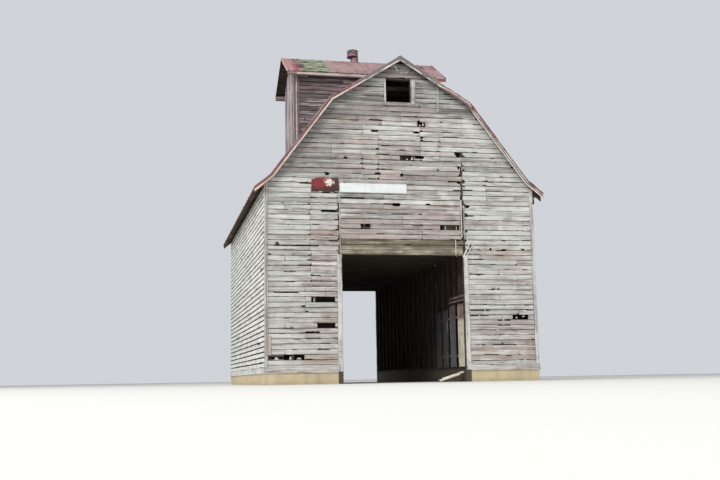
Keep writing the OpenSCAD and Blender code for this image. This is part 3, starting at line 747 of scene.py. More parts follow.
class Boards:
    """Gathers boards, whole or broken, with the attributes that their finish reads."""

    ACROSS = np.array((0.0, 0.1, 0.5, 0.9, 1.0))
    EDGES = np.array((1.0, 0.0, 0.0, 0.0, 1.0))
    RAMP, END_RIM, EDGE_WEAR, THIN = 0.035, 0.012, 0.0035, 0.09

    def __init__(self, seed):
        self.random = np.random.default_rng(seed)
        self.points, self.grain, self.tone, self.rim, self.faces = [], [], [], [], []
        self.count = 0

    def place(self, corner, along, across):
        """Where the next boards lie: a corner, the way they run and the way they are wide.

        They face along x across.
        """
        self.corner, self.along, self.across = (np.array(v, float) for v in (corner, along, across))
        self.out = np.cross(self.along, self.across)

    def waver(self, s, amount):
        a, b, c = self.random.uniform(0, 2 * pi, 3)
        return amount * (np.sin(s * 3.1 + a) + 0.6 * np.sin(s * 8.3 + b) + 0.4 * np.sin(s * 21 + c))

    def nicks(self, start, stop, low, high, rate):
        """Random bits out of the two long edges, as (from, to, low, high)."""
        found = []
        for _ in range(self.random.poisson(rate * max(0.0, stop - start))):
            reach = 0.05 + 0.5 * self.random.random() ** 2.2
            depth = 0.006 + 0.022 * self.random.random() ** 2
            at = self.random.uniform(start - reach / 2, stop - reach / 2)
            at_foot = self.random.random() < 0.7
            bite = (low - 0.01, low + depth) if at_foot else (high - depth, high + 0.01)
            found.append((at, at + reach, *bite))
        return found

    def broken(self, holes, start, stop, low, high):
        """The given holes that cut a row of boards. A thin one takes a bit out of its nearest edge."""
        found = []
        for x0, x1, z0, z1 in holes:
            middle, tall = (z0 + z1) / 2, z1 - z0
            if x1 < start or x0 > stop or z1 < low + 0.004 or z0 > high - 0.004:
                continue
            if tall >= self.THIN:
                found.append((x0, x1, z0, z1))
            elif low - 0.006 < middle <= (low + high) / 2:
                found.append((x0, x1, low - 0.01, low + tall))
            elif (low + high) / 2 < middle < high + 0.006:
                found.append((x0, x1, high - tall, high + 0.01))
        return found

    def board(self, left, right, low, high, thick=BOARD_T, tone=(0.5, 0.4, 0.3), look=None, chips=(),
              lift=0.0, waver=0.0015, bow=0.003, step=0.14, tilt=0.0):
        """One board from left to right, each an (at its foot, at its top) pair, with chips out of it."""
        a, b = sum(left) / 2, sum(right) / 2
        if b - a < 0.02:
            return
        own = self.random.random()
        marks = [np.linspace(a, b, max(3, int((b - a) / step) + 2)), (a + self.END_RIM, b - self.END_RIM)]
        marks += [(c[0], c[0] + self.RAMP, c[1] - self.RAMP, c[1]) for c in chips]
        s = np.unique(np.clip(np.concatenate(marks), a, b).round(3))
        turn = tilt * ((s - a) / (b - a) - 0.5)
        foot, top = low + turn + self.waver(s, waver), high + turn + self.waver(s, waver)
        chipped = np.zeros(len(s))
        for start, stop, bottom, cap in chips:
            reach = np.clip(np.minimum(s - start, stop - s) / self.RAMP, 0, 1)
            reach *= np.where((reach > 0) & (reach < 1), 1, self.random.uniform(0.75, 1, len(s)))
            from_foot, from_top = bottom <= low + 0.012, cap >= high - 0.012
            if from_foot and from_top:
                meet = low + (high - low) * self.random.uniform(0.2, 0.8)
                foot = np.maximum(foot, foot + (meet - foot) * reach / 0.7)
                top = np.minimum(top, top - (top - meet) * reach / 0.7)
            elif from_foot:
                foot = np.maximum(foot, low + (cap - low) * reach)
            else:
                top = np.minimum(top, high - (high - bottom) * reach)
            chipped = np.maximum(chipped, np.where((s > start - 0.02) & (s < stop + 0.02), 0.6, 0))
        whole = top - foot > 0.008
        ends = np.flatnonzero(np.diff(np.concatenate(([False], whole, [False])).astype(int)))
        for first, last in zip(ends[::2], ends[1::2]):
            if last - first > 1:
                part = slice(first, last)
                flat = self.flat(s[part], foot[part], top[part], left, right, low, high)
                self.slab(flat, chipped[part], low, thick, tone, look, lift, bow, own)

    def flat(self, s, foot, top, left, right, low, high):
        """Where a board's points are, along and across it, slanted as its ends are."""
        a, b = sum(left) / 2, sum(right) / 2
        across = foot[:, None] + (top - foot)[:, None] * self.ACROSS
        share = (across - low) / (high - low)
        start = left[LOW] + (left[HIGH] - left[LOW]) * share
        stop = right[LOW] + (right[HIGH] - right[LOW]) * share
        return start + (stop - start) * ((s - a) / (b - a))[:, None], across

    def slab(self, flat, chipped, low, thick, tone, look, lift, bow, own):
        """The closed mesh of one whole stretch of board."""
        along, across = flat
        n, m = along.shape
        rim = np.maximum(np.tile(self.EDGES, (n, 1)), 0.5 * chipped[:, None])
        rim[0], rim[-1] = 1.0, 1.0
        cup = np.abs(self.waver(along[:, 0], bow / 2))[:, None] * np.linspace(1, 0.2, m)
        front = np.stack((along, across, lift + cup - self.EDGE_WEAR * self.EDGES), -1).reshape(-1, 3)
        back = np.stack((along[:, [0, -1]], across[:, [0, -1]], np.full((n, 2), lift - thick)), -1)
        local = np.concatenate((front, back.reshape(-1, 3)))
        turned = local[:, :1] * self.along + local[:, 1:2] * self.across + local[:, 2:] * self.out
        self.points.append(self.corner + turned)
        self.grain.append(np.stack((local[:, 0], local[:, 1] - low, np.full(len(local), own * 9)), -1))
        tones = np.tile(tone, (len(local), 1)) + (0 if look is None else look(local[:, 0], local[:, 1]))
        self.tone.append(np.clip(tones, 0, 1))
        self.rim.append(np.concatenate((rim.ravel(), np.full(2 * n, 0.7))))
        base, rear = self.count, self.count + n * m
        for i in range(n - 1):
            p, q = base + i * m, rear + 2 * i
            self.faces += [(p + k, p + k + m, p + k + m + 1, p + k + 1) for k in range(m - 1)]
            self.faces += [(q, q + 1, q + 3, q + 2), (p, q, q + 2, p + m),
                           (p + m - 1, p + 2 * m - 1, q + 3, q + 1)]
        self.faces.append((*range(base, base + m), rear + 1, rear))
        p, q = base + (n - 1) * m, rear + 2 * (n - 1)
        self.faces.append((*reversed(range(p, p + m)), q, q + 1))
        self.count += len(local)

    def plank(self, start, stop, low, high, rate, **settings):
        """A board with square ends and with random bits out of its edges."""
        self.board((start, start), (stop, stop), low, high,
                   chips=self.nicks(start, stop, low, high, rate), **settings)

    def piece(self, name, finish, slot, *nodes):
        """All that was gathered, as one piece of the barn."""
        mesh = bpy.data.meshes.new(name)
        mesh.from_pydata(np.concatenate(self.points), [], self.faces)
        for label, kind, field, data in (("grain", "FLOAT_VECTOR", "vector", self.grain),
                                         ("tone", "FLOAT_VECTOR", "vector", self.tone),
                                         ("rim", "FLOAT", "value", self.rim)):
            values = np.concatenate(data).astype(np.float32).ravel()
            mesh.attributes.new(label, kind, "POINT").data.foreach_set(field, values)
        mesh.materials.append(finish)
        piece(name, mesh, slot, *nodes)


def front_boards(seed):
    """Boards that run from left to right on the front."""
    boards = Boards(seed)
    boards.place((0, -HALF_L, 0), (1, 0, 0), (0, 0, 1))
    return boards


# The front away from its patches: light, paint and warmth.
FRONT_TONE = (0.5, 0.46, 0.30)
# Where the front is paler or darker, warmer or more painted, as (x, x, z, z, soft edge, light, paint, warm).
# Some of the darker zones are painted shade.
FRONT_ZONES = (
    (-4.4, -2.0, 1.0, 6.2, 0.30, -0.02, 0.15, -0.06),
    (2.0, 4.4, 2.1, 6.4, 0.30, 0.06, 0.20, -0.06),
    (2.0, 3.7, 6.4, 8.2, 0.40, 0.13, 0.18, -0.08),
    (-1.95, 1.9, 4.3, 5.4, 0.30, -0.03, -0.15, 0.35),
    (-1.95, 1.9, 5.4, 7.9, 0.40, 0.03, -0.05, 0.18),
    # Darker top of the gable: partly painted shade under the roof's edges, partly the gable's own greyer
    # wood.
    (-2.7, 2.6, 8.2, 10.2, 0.40, -0.33, -0.14, -0.16),
    (0.9, 2.2, 7.9, 9.2, 0.40, 0.07, 0.05, 0.0),
    (1.9, 4.4, 0.3, 1.95, 0.30, 0.08, -0.05, 0.42),
    (-3.1, -1.9, 0.3, 5.1, 0.40, -0.03, -0.12, 0.38),
    (-4.4, -2.0, 0.3, 1.0, 0.20, 0.06, 0.08, 0.20), (-4.15, -3.4, 0.87, 0.90, 0.02, 0.25, 0.5, -0.3),
    # Painted shadow of a tree on the upper left.
    (-3.9, -1.7, 6.3, 8.3, 0.50, -0.19, -0.17, -0.20),
    (2.2, 3.7, 3.7, 4.3, 0.30, -0.02, -0.16, 0.26),
    (-2.8, -2.0, 3.1, 4.6, 0.20, -0.02, -0.12, 0.22),
    (-0.3, 1.0, 7.7, 8.5, 0.30, 0.05, -0.05, 0.25),
    (0.35, 0.85, 5.33, 5.60, 0.08, 0.12, 0.35, -0.20),
    # The second of these is painted shade under the peak of the roof.
    (1.22, 1.47, 5.63, 5.90, 0.04, 0.26, 0.60, -0.35), (-1.3, 1.3, 9.42, 10.2, 0.15, -0.12, -0.2, 0.0),
    # The second of these is a painted shadow under the white board.
    (-1.9, 0.55, 5.50, 5.72, 0.06, -0.06, 0.10, -0.20), (-1.9, 0.2, 5.60, 5.70, 0.03, -0.14, -0.2, 0.0),
    (-0.7, 0.0, 6.10, 6.55, 0.10, 0.05, 0.0, 0.22),
    (1.0, 2.2, 8.36, 8.52, 0.05, -0.14, -0.20, 0.0),
    (-2.5, -1.3, 8.10, 8.26, 0.08, -0.16, -0.30, 0.0),
    (-3.0, 0.8, 7.40, 7.60, 0.20, -0.08, -0.10, 0.0),
    (-3.1, -2.0, 6.76, 6.90, 0.08, -0.20, -0.20, -0.05),
    (2.3, 3.5, 1.60, 1.86, 0.10, -0.10, -0.05, -0.15), (3.29, 3.51, 4.92, 5.12, 0.06, -0.10, -0.4, -0.5),
    (2.95, 3.98, 2.80, 4.07, 0.30, -0.05, -0.05, 0.32), (1.72, 1.81, 5.29, 5.59, 0.04, -0.28, -0.3, 0.0),
)
# Board ends in one line, as (x, from z, to z).
FRONT_SEAMS = ((-0.72, 6.2, 7.8), (0.63, 6.85, 8.15), (-1.22, 6.5, 7.05), (-2.2, 6.9, 7.3),
               (-2.02, 5.43, 6.0), (1.94, 6.8, 7.2), (-2.86, 3.0, 5.9), (2.75, 5.6, 6.3))
# Broken places of the front, as (x, x, z, z). The missing boards, also cut through the frame, come first.
FRONT_HOLES = (
    (-2.86, -2.14, 2.43, 2.57), (-2.70, -2.13, 1.655, 1.795), (-4.15, -3.08, 0.725, 0.865),
    (3.45, 3.98, 1.88, 2.02), (-0.05, 0.42, 6.825, 6.965), (1.19, 1.82, 4.655, 4.795),
    (-1.33, -1.02, 4.655, 4.795), (0.55, 0.80, 7.91, 8.05), (1.78, 1.915, 6.98, 7.12),
    # Beside and above the middle hole
    (0.42, 0.75, 6.87, 6.965), (0.40, 0.62, 7.70, 7.76), (0.62, 0.74, 7.53, 7.60),
    (0.62, 0.74, 7.42, 7.48), (-0.05, 0.07, 6.30, 6.41), (1.13, 1.22, 6.53, 6.60),
    # Along the seam right of the middle
    (1.72, 1.99, 7.02, 7.12), (1.86, 2.07, 6.99, 7.06), (1.48, 2.05, 6.18, 6.215),
    (1.78, 2.06, 6.15, 6.23), (1.64, 2.30, 5.89, 5.925), (1.88, 1.94, 5.68, 5.81),
    (1.99, 2.18, 5.375, 5.465), (1.97, 2.11, 5.065, 5.19), (2.05, 2.30, 5.06, 5.10),
    (1.96, 2.09, 4.56, 4.64), (1.91, 2.05, 4.29, 4.365), (1.28, 1.37, 8.05, 8.10),
    (1.98, 2.14, 3.96, 4.03), (2.02, 2.20, 4.12, 4.20),
    (1.80, 1.90, 6.62, 6.70), (1.96, 2.06, 6.50, 6.58), (1.84, 1.93, 6.36, 6.44),
    (1.97, 2.05, 6.00, 6.07),
    # Round the white board and along the seam left of it
    (-1.97, -1.15, 5.585, 5.63), (-0.60, -0.30, 5.44, 5.47), (-0.32, -0.05, 5.37, 5.48),
    (0.74, 0.92, 5.42, 5.47), (-2.55, -1.95, 5.11, 5.18), (-2.06, -1.93, 5.22, 5.30),
    (-1.12, -0.85, 5.13, 5.16), (-2.05, -1.93, 4.62, 4.76), (-2.05, -1.95, 4.30, 4.38),
    # Small breaks of the upper front
    (-1.82, -1.68, 6.83, 6.90), (-0.82, -0.68, 7.13, 7.19), (-0.65, -0.35, 7.20, 7.23),
    (-0.80, -0.70, 6.52, 6.56), (-0.86, -0.66, 6.36, 6.42), (-1.0, -0.55, 8.05, 8.09),
    (-0.95, -0.70, 7.66, 7.72), (-2.42, -2.27, 6.28, 6.39), (-3.2, -2.8, 5.97, 6.01),
    # Left crib
    (-3.94, -3.80, 4.13, 4.22), (-4.00, -2.60, 4.07, 4.10), (-4.15, -4.04, 3.82, 3.87),
    (-2.32, -2.02, 4.22, 4.25), (-3.70, -3.30, 3.33, 3.36), (-4.00, -3.22, 2.68, 2.72),
    (-3.05, -2.60, 1.50, 1.56),
    # Right crib
    (2.76, 2.86, 4.05, 4.12), (3.76, 3.94, 4.05, 4.10), (2.03, 2.60, 3.76, 3.79),
    (2.05, 2.72, 2.16, 2.19), (2.05, 2.70, 2.00, 2.035), (3.90, 4.15, 2.16, 2.19),
    (2.93, 3.40, 1.80, 1.83), (2.95, 3.38, 1.66, 1.69), (2.10, 4.12, 0.51, 0.54),
)
# Bits of board left standing in the missing rows, as (x, x, z, z).
FRONT_BITS = (
    (-3.98, -3.84, 0.735, 0.805), (-3.54, -3.45, 0.735, 0.825), (-3.33, -3.15, 0.735, 0.785),
    (-2.80, -2.755, 2.435, 2.565), (1.345, 1.385, 4.66, 4.79), (1.70, 1.74, 4.66, 4.78),
    (0.16, 0.22, 6.84, 6.88), (0.30, 0.40, 6.84, 6.93), (0.60, 0.655, 7.92, 7.99), (0.70, 0.76, 7.94, 8.04),
)


def front_look(x, z):
    """Light, paint and warmth of the front at each point."""
    value = np.tile(FRONT_TONE, (len(x), 1))
    for x0, x1, z0, z1, soft, *change in FRONT_ZONES:
        inside = soft_step(np.minimum.reduce((x - x0, x1 - x, z - z0, z1 - z)), -soft / 2, soft / 2)
        value += inside[:, None] * np.array(change)
    return value


def front_cuts(boards, start, stop, middle):
    """Where the boards of a row meet: at the seams of the front, and over a stud in a long row."""
    cuts = [x + boards.random.uniform(-0.02, 0.02) for x, z0, z1 in FRONT_SEAMS
            if z0 < middle < z1 and start + 0.25 < x < stop - 0.25]
    span, stud_pitch = stop - start, 0.61
    if span > 3.4 or (span > 1.6 and boards.random.random() < 0.35):
        near = start + span * boards.random.uniform(0.25, 0.75)
        joint = round(near / stud_pitch) * stud_pitch + 0.01
        if all(abs(joint - x) > 0.4 for x in cuts) and start + 0.3 < joint < stop - 0.3:
            cuts.append(joint)
    return sorted(cuts)


def front_row(boards, low, high, left, right, tone=(0, 0, 0)):
    """One row of boards between two ends, which are numbers or functions of the height."""
    s = bpy.context.scene.barn_siding

    def at(end, z):
        return float(end(z)) if callable(end) else end
    a, b = (at(left, low), at(left, high)), (at(right, low), at(right, high))
    start, stop = max(a), min(b)
    if stop - start < 0.05:
        return
    cuts = [a] + [(x, x) for x in front_cuts(boards, start, stop, (low + high) / 2)] + [b]
    for first, last in pairwise(cuts):
        own = boards.random.normal(0, (0.09, 0.15, 0.16)) + tone
        gap = boards.random.uniform(0.001, 0.004)
        foot, top = low + boards.random.uniform(-0.004, 0.005), high + boards.random.uniform(-0.006, 0.006)
        chips = boards.broken(FRONT_HOLES, first[0], last[1], low, high)
        chips += boards.nicks(first[0], last[1], low, high, s.nicks)
        for x in (first[0], last[1]):
            if boards.random.random() < 0.3:
                reach, depth = boards.random.uniform((0.03, 0.02), (0.12, 0.05))
                chips.append((x - reach, x + reach, low - 0.01, low + depth))
        boards.board(tuple(v + gap for v in first), tuple(v - gap for v in last), foot, top, tone=own,
                     look=front_look, chips=chips, lift=boards.random.uniform(-0.005, 0.0), waver=0.0022,
                     tilt=boards.random.normal(0, s.tilt))


class BARN_OT_front_siding(Operator):
    """Builds the broken and patched boards of the front"""
    bl_idname = "barn.front_siding"
    bl_label = "Front Siding"

    LEFT_ROWS, RIGHT_ROWS, UPPER_ROWS, LINTEL_ROWS = 32, 41, 41, 3
    # The narrow board that closes the left crib's front.
    STRIP_FOOT, STRIP_TOP = 5.372, 5.421
    # From these heights the rows reach out to the roof: on the right crib, and over the door on both sides.
    CRIB_TO_ROOF, LEFT_TO_ROOF, RIGHT_TO_ROOF = 5.5, 5.4, 6.8
    # Where the other rows over the door stop, as (from height, between x, and x), from the top down.
    STOPS = ((5.9, 1.85, 1.94), (5.6, 1.88, 1.94), (0.0, 1.853, 1.883))

    def execute(self, context):
        s = context.scene.barn_siding
        boards = front_boards(s.seed)
        self.cribs(boards, s.pitch, s.pitch - s.gap)
        self.over_the_door(boards, s.pitch, s.pitch - s.gap)
        for x0, x1, z0, z1 in FRONT_BITS:
            slant = (x1 - x0) * 0.35
            boards.board((x0, x0 + slant), (x1, x1 - slant), z0, z1, look=front_look,
                         tone=(0.05, 0.15, 0.0), step=0.03)
        boards.piece("front_siding", siding_finish(), "grey_siding", "front_wall_left", "front_wall_right",
                     "front_wall_upper")
        return {"FINISHED"}

    def cribs(self, boards, pitch, deep):
        """Rows beside the doorway. They run up to their seam with the wall over the door."""
        stray = boards.random.uniform
        gap = pitch - deep
        front_row(boards, WALL_FOOT, LEFT_FOOT - gap, -HALF_W, -DOOR_X)
        front_row(boards, WALL_FOOT, RIGHT_FOOT - gap, DOOR_X, HALF_W)
        for row in range(self.LEFT_ROWS):
            low = LEFT_FOOT + row * pitch
            stop = -DOOR_X if low + deep < LINTEL else SEAM_LEFT - 0.02 + stray(-0.03, 0.03)
            front_row(boards, low, low + deep, -HALF_W, stop)
        front_row(boards, self.STRIP_FOOT, self.STRIP_TOP, -HALF_W, SEAM_LEFT - 0.05)
        for row in range(self.RIGHT_ROWS):
            low = RIGHT_FOOT + row * pitch
            start = DOOR_X if low + deep < LINTEL else SEAM_RIGHT + stray(-0.02, 0.06)
            front_row(boards, low, low + deep, start, half_width if low > self.CRIB_TO_ROOF else HALF_W)

    def over_the_door(self, boards, pitch, deep):
        """Rows over the doorway and up to the peak, round the hatch."""
        stray = boards.random.uniform
        for row in range(self.LINTEL_ROWS, self.UPPER_ROWS):
            low = UPPER_FOOT + row * pitch
            high = min(low + deep, PEAK - 0.01)
            start, stop = (lambda z: -half_width(z)), half_width
            if low <= self.LEFT_TO_ROOF:
                start = SEAM_LEFT + stray(-0.02, 0.02)
            if low <= self.RIGHT_TO_ROOF:
                stop = stray(*next(ends for height, *ends in self.STOPS if low > height))
            if low < HATCH_FOOT - 0.08 or low > HATCH_TOP:
                front_row(boards, low, high, start, stop)
            else:
                front_row(boards, low, high, start, HATCH_LEFT)
                front_row(boards, low, high, HATCH_RIGHT, stop)


class BARN_OT_lintel_boards(Operator):
    """Builds the two wide tan boards right over the doorway"""
    bl_idname = "barn.lintel_boards"
    bl_label = "Lintel Boards"

    MIDDLE = 4.168

    def execute(self, context):
        boards = front_boards(17)
        left, right = SEAM_LEFT + 0.02, SEAM_RIGHT - 0.02
        lower, upper = (LINTEL, self.MIDDLE - 0.006), (self.MIDDLE + 0.006, LINTEL_TOP)
        for x0, x1, (z0, z1), tone in (
            (left, 0.0, lower, (0.44, 0.34, 0.40)), (0.004, right - 0.03, lower, (0.40, 0.36, 0.30)),
            (left, 1.62, upper, (0.36, 0.26, 0.60)), (1.63, right, upper, (0.36, 0.30, 0.30)),
        ):
            chips = boards.broken(FRONT_HOLES, x0, x1, z0, z1) + boards.nicks(x0, x1, z0, z1, 1.5)
            boards.board((x0, x0), (x1, x1), z0, z1, tone=tone, chips=chips, waver=0.002, bow=0.004)
        boards.piece("lintel_boards", lintel_finish(), "grey_siding")
        return {"FINISHED"}


# Broken places of the left side, as (distance towards the front, the same, z, z).
SIDE_HOLES = ((5.12, 5.42, 3.40, 3.53), (2.40, 2.72, 2.80, 2.93), (-2.95, -2.5, 1.68, 1.81),
              (0.30, 0.62, 0.62, 0.72), (-3.6, -3.2, 2.45, 2.50), (4.2, 4.9, 1.20, 1.24),
              (1.0, 1.8, 4.05, 4.09), (-5.2, -4.8, 3.72, 3.80), (3.3, 3.5, 4.60, 4.68))


class BARN_OT_left_siding(Operator):
    """Builds the pale, wide-spaced boards of the left side"""
    bl_idname = "barn.left_siding"
    bl_label = "Left Siding"

    def execute(self, context):
        s = context.scene.barn_siding
        boards = Boards(21)
        boards.place((-HALF_W, 0, 0), (0, -1, 0), (0, 0, 1))
        end, deep = HALF_L - BOARD_T, s.pitch - s.side_gap
        top = edge("left_wall", HIGH, Z)
        for row in range(int((top - WALL_FOOT) / s.pitch) + 1):
            low = WALL_FOOT + 0.002 + row * s.pitch
            high = min(low + deep, top)
            joints = np.arange(-end + s.board * boards.random.random(), end, s.board)
            cuts = [-end, *(x for x in joints if -end + 0.4 < x < end - 0.4), end]
            for a, b in pairwise(cuts):
                own = boards.random.normal((1.0, 0.98, 0.10), (0.10, 0.14, 0.12))
                chips = boards.broken(SIDE_HOLES, a, b, low, high) + boards.nicks(a, b, low, high, 1.2)
                boards.board((a + 0.002, a + 0.002), (b - 0.002, b - 0.002), low, high, tone=own,
                             chips=chips, lift=boards.random.uniform(-0.005, 0.0), waver=0.003, step=0.25,
                             tilt=boards.random.normal(0, s.tilt * 1.5))
        boards.piece("left_siding", siding_finish(), "grey_siding", "left_wall")
        return {"FINISHED"}


# Plain walls


@node_tree("width under the roof", "GeometryNodeTree", {"Height": 0.0}, {"Half Width": "number"})
def roof_width(net, given, made):
    """Half the width under the roof at a height."""
    slopes = []
    for x0, z0, fall in SLOPES:
        slopes.append(given["Height"] * (-1 / fall) + (x0 + (z0 - DECK_T * hypot(1, fall)) / fall))
    lower = net.math("MAXIMUM", slopes[1], slopes[2])
    net.link(made["Half Width"], net.math("MINIMUM", slopes[0], lower))


@node_tree("boards in rows", "GeometryNodeTree", {
    "Geometry": "geometry", "From": 0.0, "To": 4.0, "Foot": 0.0, "Rows": 10, "Pitch": 0.155,
    "Gap": 0.012, "Thickness": BOARD_T, "Board Length": 3.6, "Columns": 14, "Waver": 0.002,
    "Left Limit": 0.0, "Right Limit": 0.0, "Gable Top": 1000.0, "Gable Fall": 0.0, "Light": 0.5,
    "Paint": 0.5, "Warm": 0.3, "Spread": 0.2, "Seed": 1, "Material": "material",
}, {"Geometry": "geometry"})
def board_rows(net, given, made):
    """Boards in rows along X and up Z, facing -Y, cut to a roof line or a gable where one is given."""
    per_row = net.math("CEIL", (given["To"] - given["From"]) / given["Board Length"]) + 1.0
    spots = net.add("GeometryNodeMeshLine", {0: per_row * given["Rows"], 3: (0.0, 0.0, 0.0)}, mode="OFFSET")
    index = net.add("GeometryNodeInputIndex")
    row = net.math("FLOOR", (index + 0.5) / per_row)
    shift = net.random(0.0, 1.0, row, given["Seed"])
    start = (index - row * per_row - shift) * given["Board Length"] + given["From"]
    foot = row * given["Pitch"] + given["Foot"]

    def limits(start, height):
        width = net.group(roof_width(), {"Height": height})["Half Width"]

        def bound(factor, side):
            return factor * width + (1.0 - net.size(factor)) * (1000.0 * side)
        gable = given["Gable Top"] - net.size(height) * given["Gable Fall"]
        low = net.math("MAXIMUM", net.math("MAXIMUM", start, given["From"]), bound(given["Left Limit"], -1))
        stop = net.math("MINIMUM", start + given["Board Length"], given["To"])
        high = net.math("MINIMUM", stop, bound(given["Right Limit"], 1))
        return low, net.math("MINIMUM", high, gable)
    low, high = limits(start, foot + given["Pitch"] * 0.5)
    short = net.add("FunctionNodeCompare", {0: high - low, 1: 0.09}, data_type="FLOAT",
                    operation="LESS_THAN")
    spots = net.store(spots, "FLOAT", start=start, foot=foot, own=net.random(0.0, 1.0, index, given["Seed"]))
    spots = net.add("GeometryNodeDeleteGeometry", {0: spots, 1: short}, domain="POINT")
    block = net.add("GeometryNodeMeshCube", {0: (1.0, 1.0, 1.0), 1: given["Columns"], 2: 2, 3: 4})
    rows = net.copies(spots, block)
    own = net.kept("own")
    along, depth, up = net.inside()
    up = net.clamp(up * 2.4 - 0.7)
    tall = given["Pitch"] - given["Gap"]
    z = up * tall + net.kept("foot")
    low, high = limits(net.kept("start"), z)
    x = along * (high - low - 0.004) + low
    wave = net.stray(net.xyz(x, own * 90.0, up * 3.0), 2.3)
    rim = net.between(net.size(up * 2.0 - 1.0), 0.79, 1.0, "LINEAR")
    face = rim * 0.003 + net.size(wave) * 0.008
    y = depth * (given["Thickness"] - face) + face
    z = z + wave * given["Waver"] * 4.0

    def toned(label, scale):
        part = net.math("FRACT", own * scale)
        return net.clamp((part - 0.5) * given["Spread"] + given[label])
    rows = net.store(rows, "FLOAT_VECTOR", grain=net.xyz(x, up * tall, own * 9.0),
                     tone=net.xyz(toned("Light", 7.1), toned("Paint", 23.3), toned("Warm", 51.7)))
    rows = net.store(rows, "FLOAT", rim=rim)
    rows = net.add("GeometryNodeSetPosition", {0: rows, 2: net.xyz(x, y, z)})
    net.end(made, rows, given["Material"])


def grown(tree, values, turn=Matrix.Identity(4), start=None):
    """The plain mesh that a geometry tree makes, moved to its place."""
    holder = in_scene("holder", start or bpy.data.meshes.new("holder"))
    modifier = holder.modifiers.new("grow", "NODES")
    modifier.node_group = tree
    sockets = {item.name: item.identifier for item in tree.interface.items_tree
               if item.item_type == "SOCKET" and item.in_out == "INPUT"}
    for label, value in values.items():
        modifier[sockets[label]] = value
    mesh = bpy.data.meshes.new_from_object(holder.evaluated_get(bpy.context.evaluated_depsgraph_get()))
    holder.modifiers.remove(modifier)
    bpy.data.objects.remove(holder)
    if not mesh.polygons:
        raise RuntimeError(f"{tree.name} made no faces from {values}")
    mesh.transform(turn)
    return mesh


def facing(out, x=0.0, y=0.0):
    """Turns rows that face -Y so that they face another way, and moves them to a wall."""
    angle = {"-y": 0, "+x": 90, "+y": 180, "-x": -90}[out]
    return Matrix.Translation((x, y, 0)) @ Matrix.Rotation(radians(angle), 4, "Z")


def row_mesh(turn, **values):
    """Rows of boards. A name's underscore stands for the space in the name of the tree's input."""
    s = bpy.context.scene.barn_siding
    base = {"Pitch": s.pitch, "Gap": s.gap, "Board Length": s.board, "Seed": s.seed,
            "Material": siding_finish()}
    base.update({name.replace("_", " "): value for name, value in values.items()})
    return grown(board_rows(), base, turn)


class BARN_OT_plain_siding(Operator):
    """Grows the boards of the right side and of the rear"""
    bl_idname = "barn.plain_siding"
    bl_label = "Right and Rear Siding"

    HATCH_ROW, HATCH_ROWS, PEAK_ROWS = 31, 5, 4

    def execute(self, context):
        s = context.scene.barn_siding
        reach = HALF_L - BOARD_T
        side = row_mesh(facing("+x", HALF_W), From=-reach, To=reach, Foot=WALL_FOOT + 0.002, Rows=36,
                        Gap=s.side_gap, Waver=0.003, Light=0.90, Paint=0.90, Warm=0.12, Spread=0.3, Seed=22)
        piece("right_siding", side, "grey_siding", "right_wall")
        below = int((LINTEL - WALL_FOOT) / s.pitch)
        even = (LINTEL - WALL_FOOT) / below
        hatch_low = LINTEL + self.HATCH_ROW * s.pitch
        hatch_high = hatch_low + self.HATCH_ROWS * s.pitch
        parts = []
        # The rear is seen from behind, so its left end is at the barn's right side.
        for x0, x1, foot, count, pitch, seed in (
            (-HALF_W, -DOOR_X, WALL_FOOT, below, even, 31), (DOOR_X, HALF_W, WALL_FOOT, below, even, 32),
            (-HALF_W, HALF_W, LINTEL, self.HATCH_ROW, s.pitch, 33),
            (-HALF_W, -HATCH_RIGHT, hatch_low, self.HATCH_ROWS, s.pitch, 34),
            (-HATCH_LEFT, HALF_W, hatch_low, self.HATCH_ROWS, s.pitch, 35),
            (-HALF_W, HALF_W, hatch_high, self.PEAK_ROWS, s.pitch, 36),
        ):
            parts.append(row_mesh(facing("+y", y=HALF_L), From=x0, To=x1, Foot=foot, Rows=count, Pitch=pitch,
                                  Left_Limit=-1.0, Right_Limit=1.0, Waver=0.003, Spread=0.3, Seed=seed))
        piece("rear_siding", joined(parts), "grey_siding", "rear_wall_left", "rear_wall_right",
              "rear_wall_upper")
        return {"FINISHED"}


class BARN_OT_lining(Operator):
    """Grows the spaced boards between cribs and driveway and the boards of the loft floor"""
    bl_idname = "barn.lining"
    bl_label = "Crib Lining and Loft Floor"

    ROWS = 24

    def execute(self, context):
        low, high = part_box("crib_walls")
        near = high.x - BOARD_T
        parts = [row_mesh(facing(out, x), From=low.y, To=high.y, Foot=low.z, Rows=self.ROWS,
                          Pitch=(high.z - low.z) / self.ROWS, Gap=0.026, Columns=6, Paint=0.2, Warm=0.5,
                          Material=lining_finish(), Seed=seed)
                 for out, x, seed in (("-x", near, 41), ("+x", -near, 42))]
        piece("crib_lining", joined(parts), "dark_timber", "crib_walls")
        low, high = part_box("loft_floor")
        # Rows that run along Y, lie beside each other along X and face down.
        turn = Matrix(((0, 0, 1, 0), (1, 0, 0, 0), (0, 1, 0, low.z), (0, 0, 0, 1)))
        floor = row_mesh(turn, From=low.y, To=high.y, Foot=low.x, Rows=self.ROWS,
                         Pitch=(high.x - low.x) / self.ROWS, Gap=0.006, Columns=5,
                         Thickness=high.z - low.z, Paint=0.15, Warm=0.6, Material=lining_finish(), Seed=43)
        piece("loft_boards", floor, "dark_timber", "loft_floor")
        return {"FINISHED"}


# The driveway guards: the first board's start, the height of its top, and light, paint and warmth. Their
# light falls off from the door inwards as painted shade of the driveway.
GUARDS = ((-6.010, 2.405, (0.92, 0.88, 0.45)), (-5.176, 2.420, (0.50, 0.12, 0.0)),
          (-4.402, 2.320, (0.04, 0.0, 0.0)), (-3.638, 2.310, (0.0, 0.0, 0.0)))
GUARD_PITCH, GUARD_W, GUARD_BOARDS, GUARD_T = 0.190, 0.184, 3, 0.022
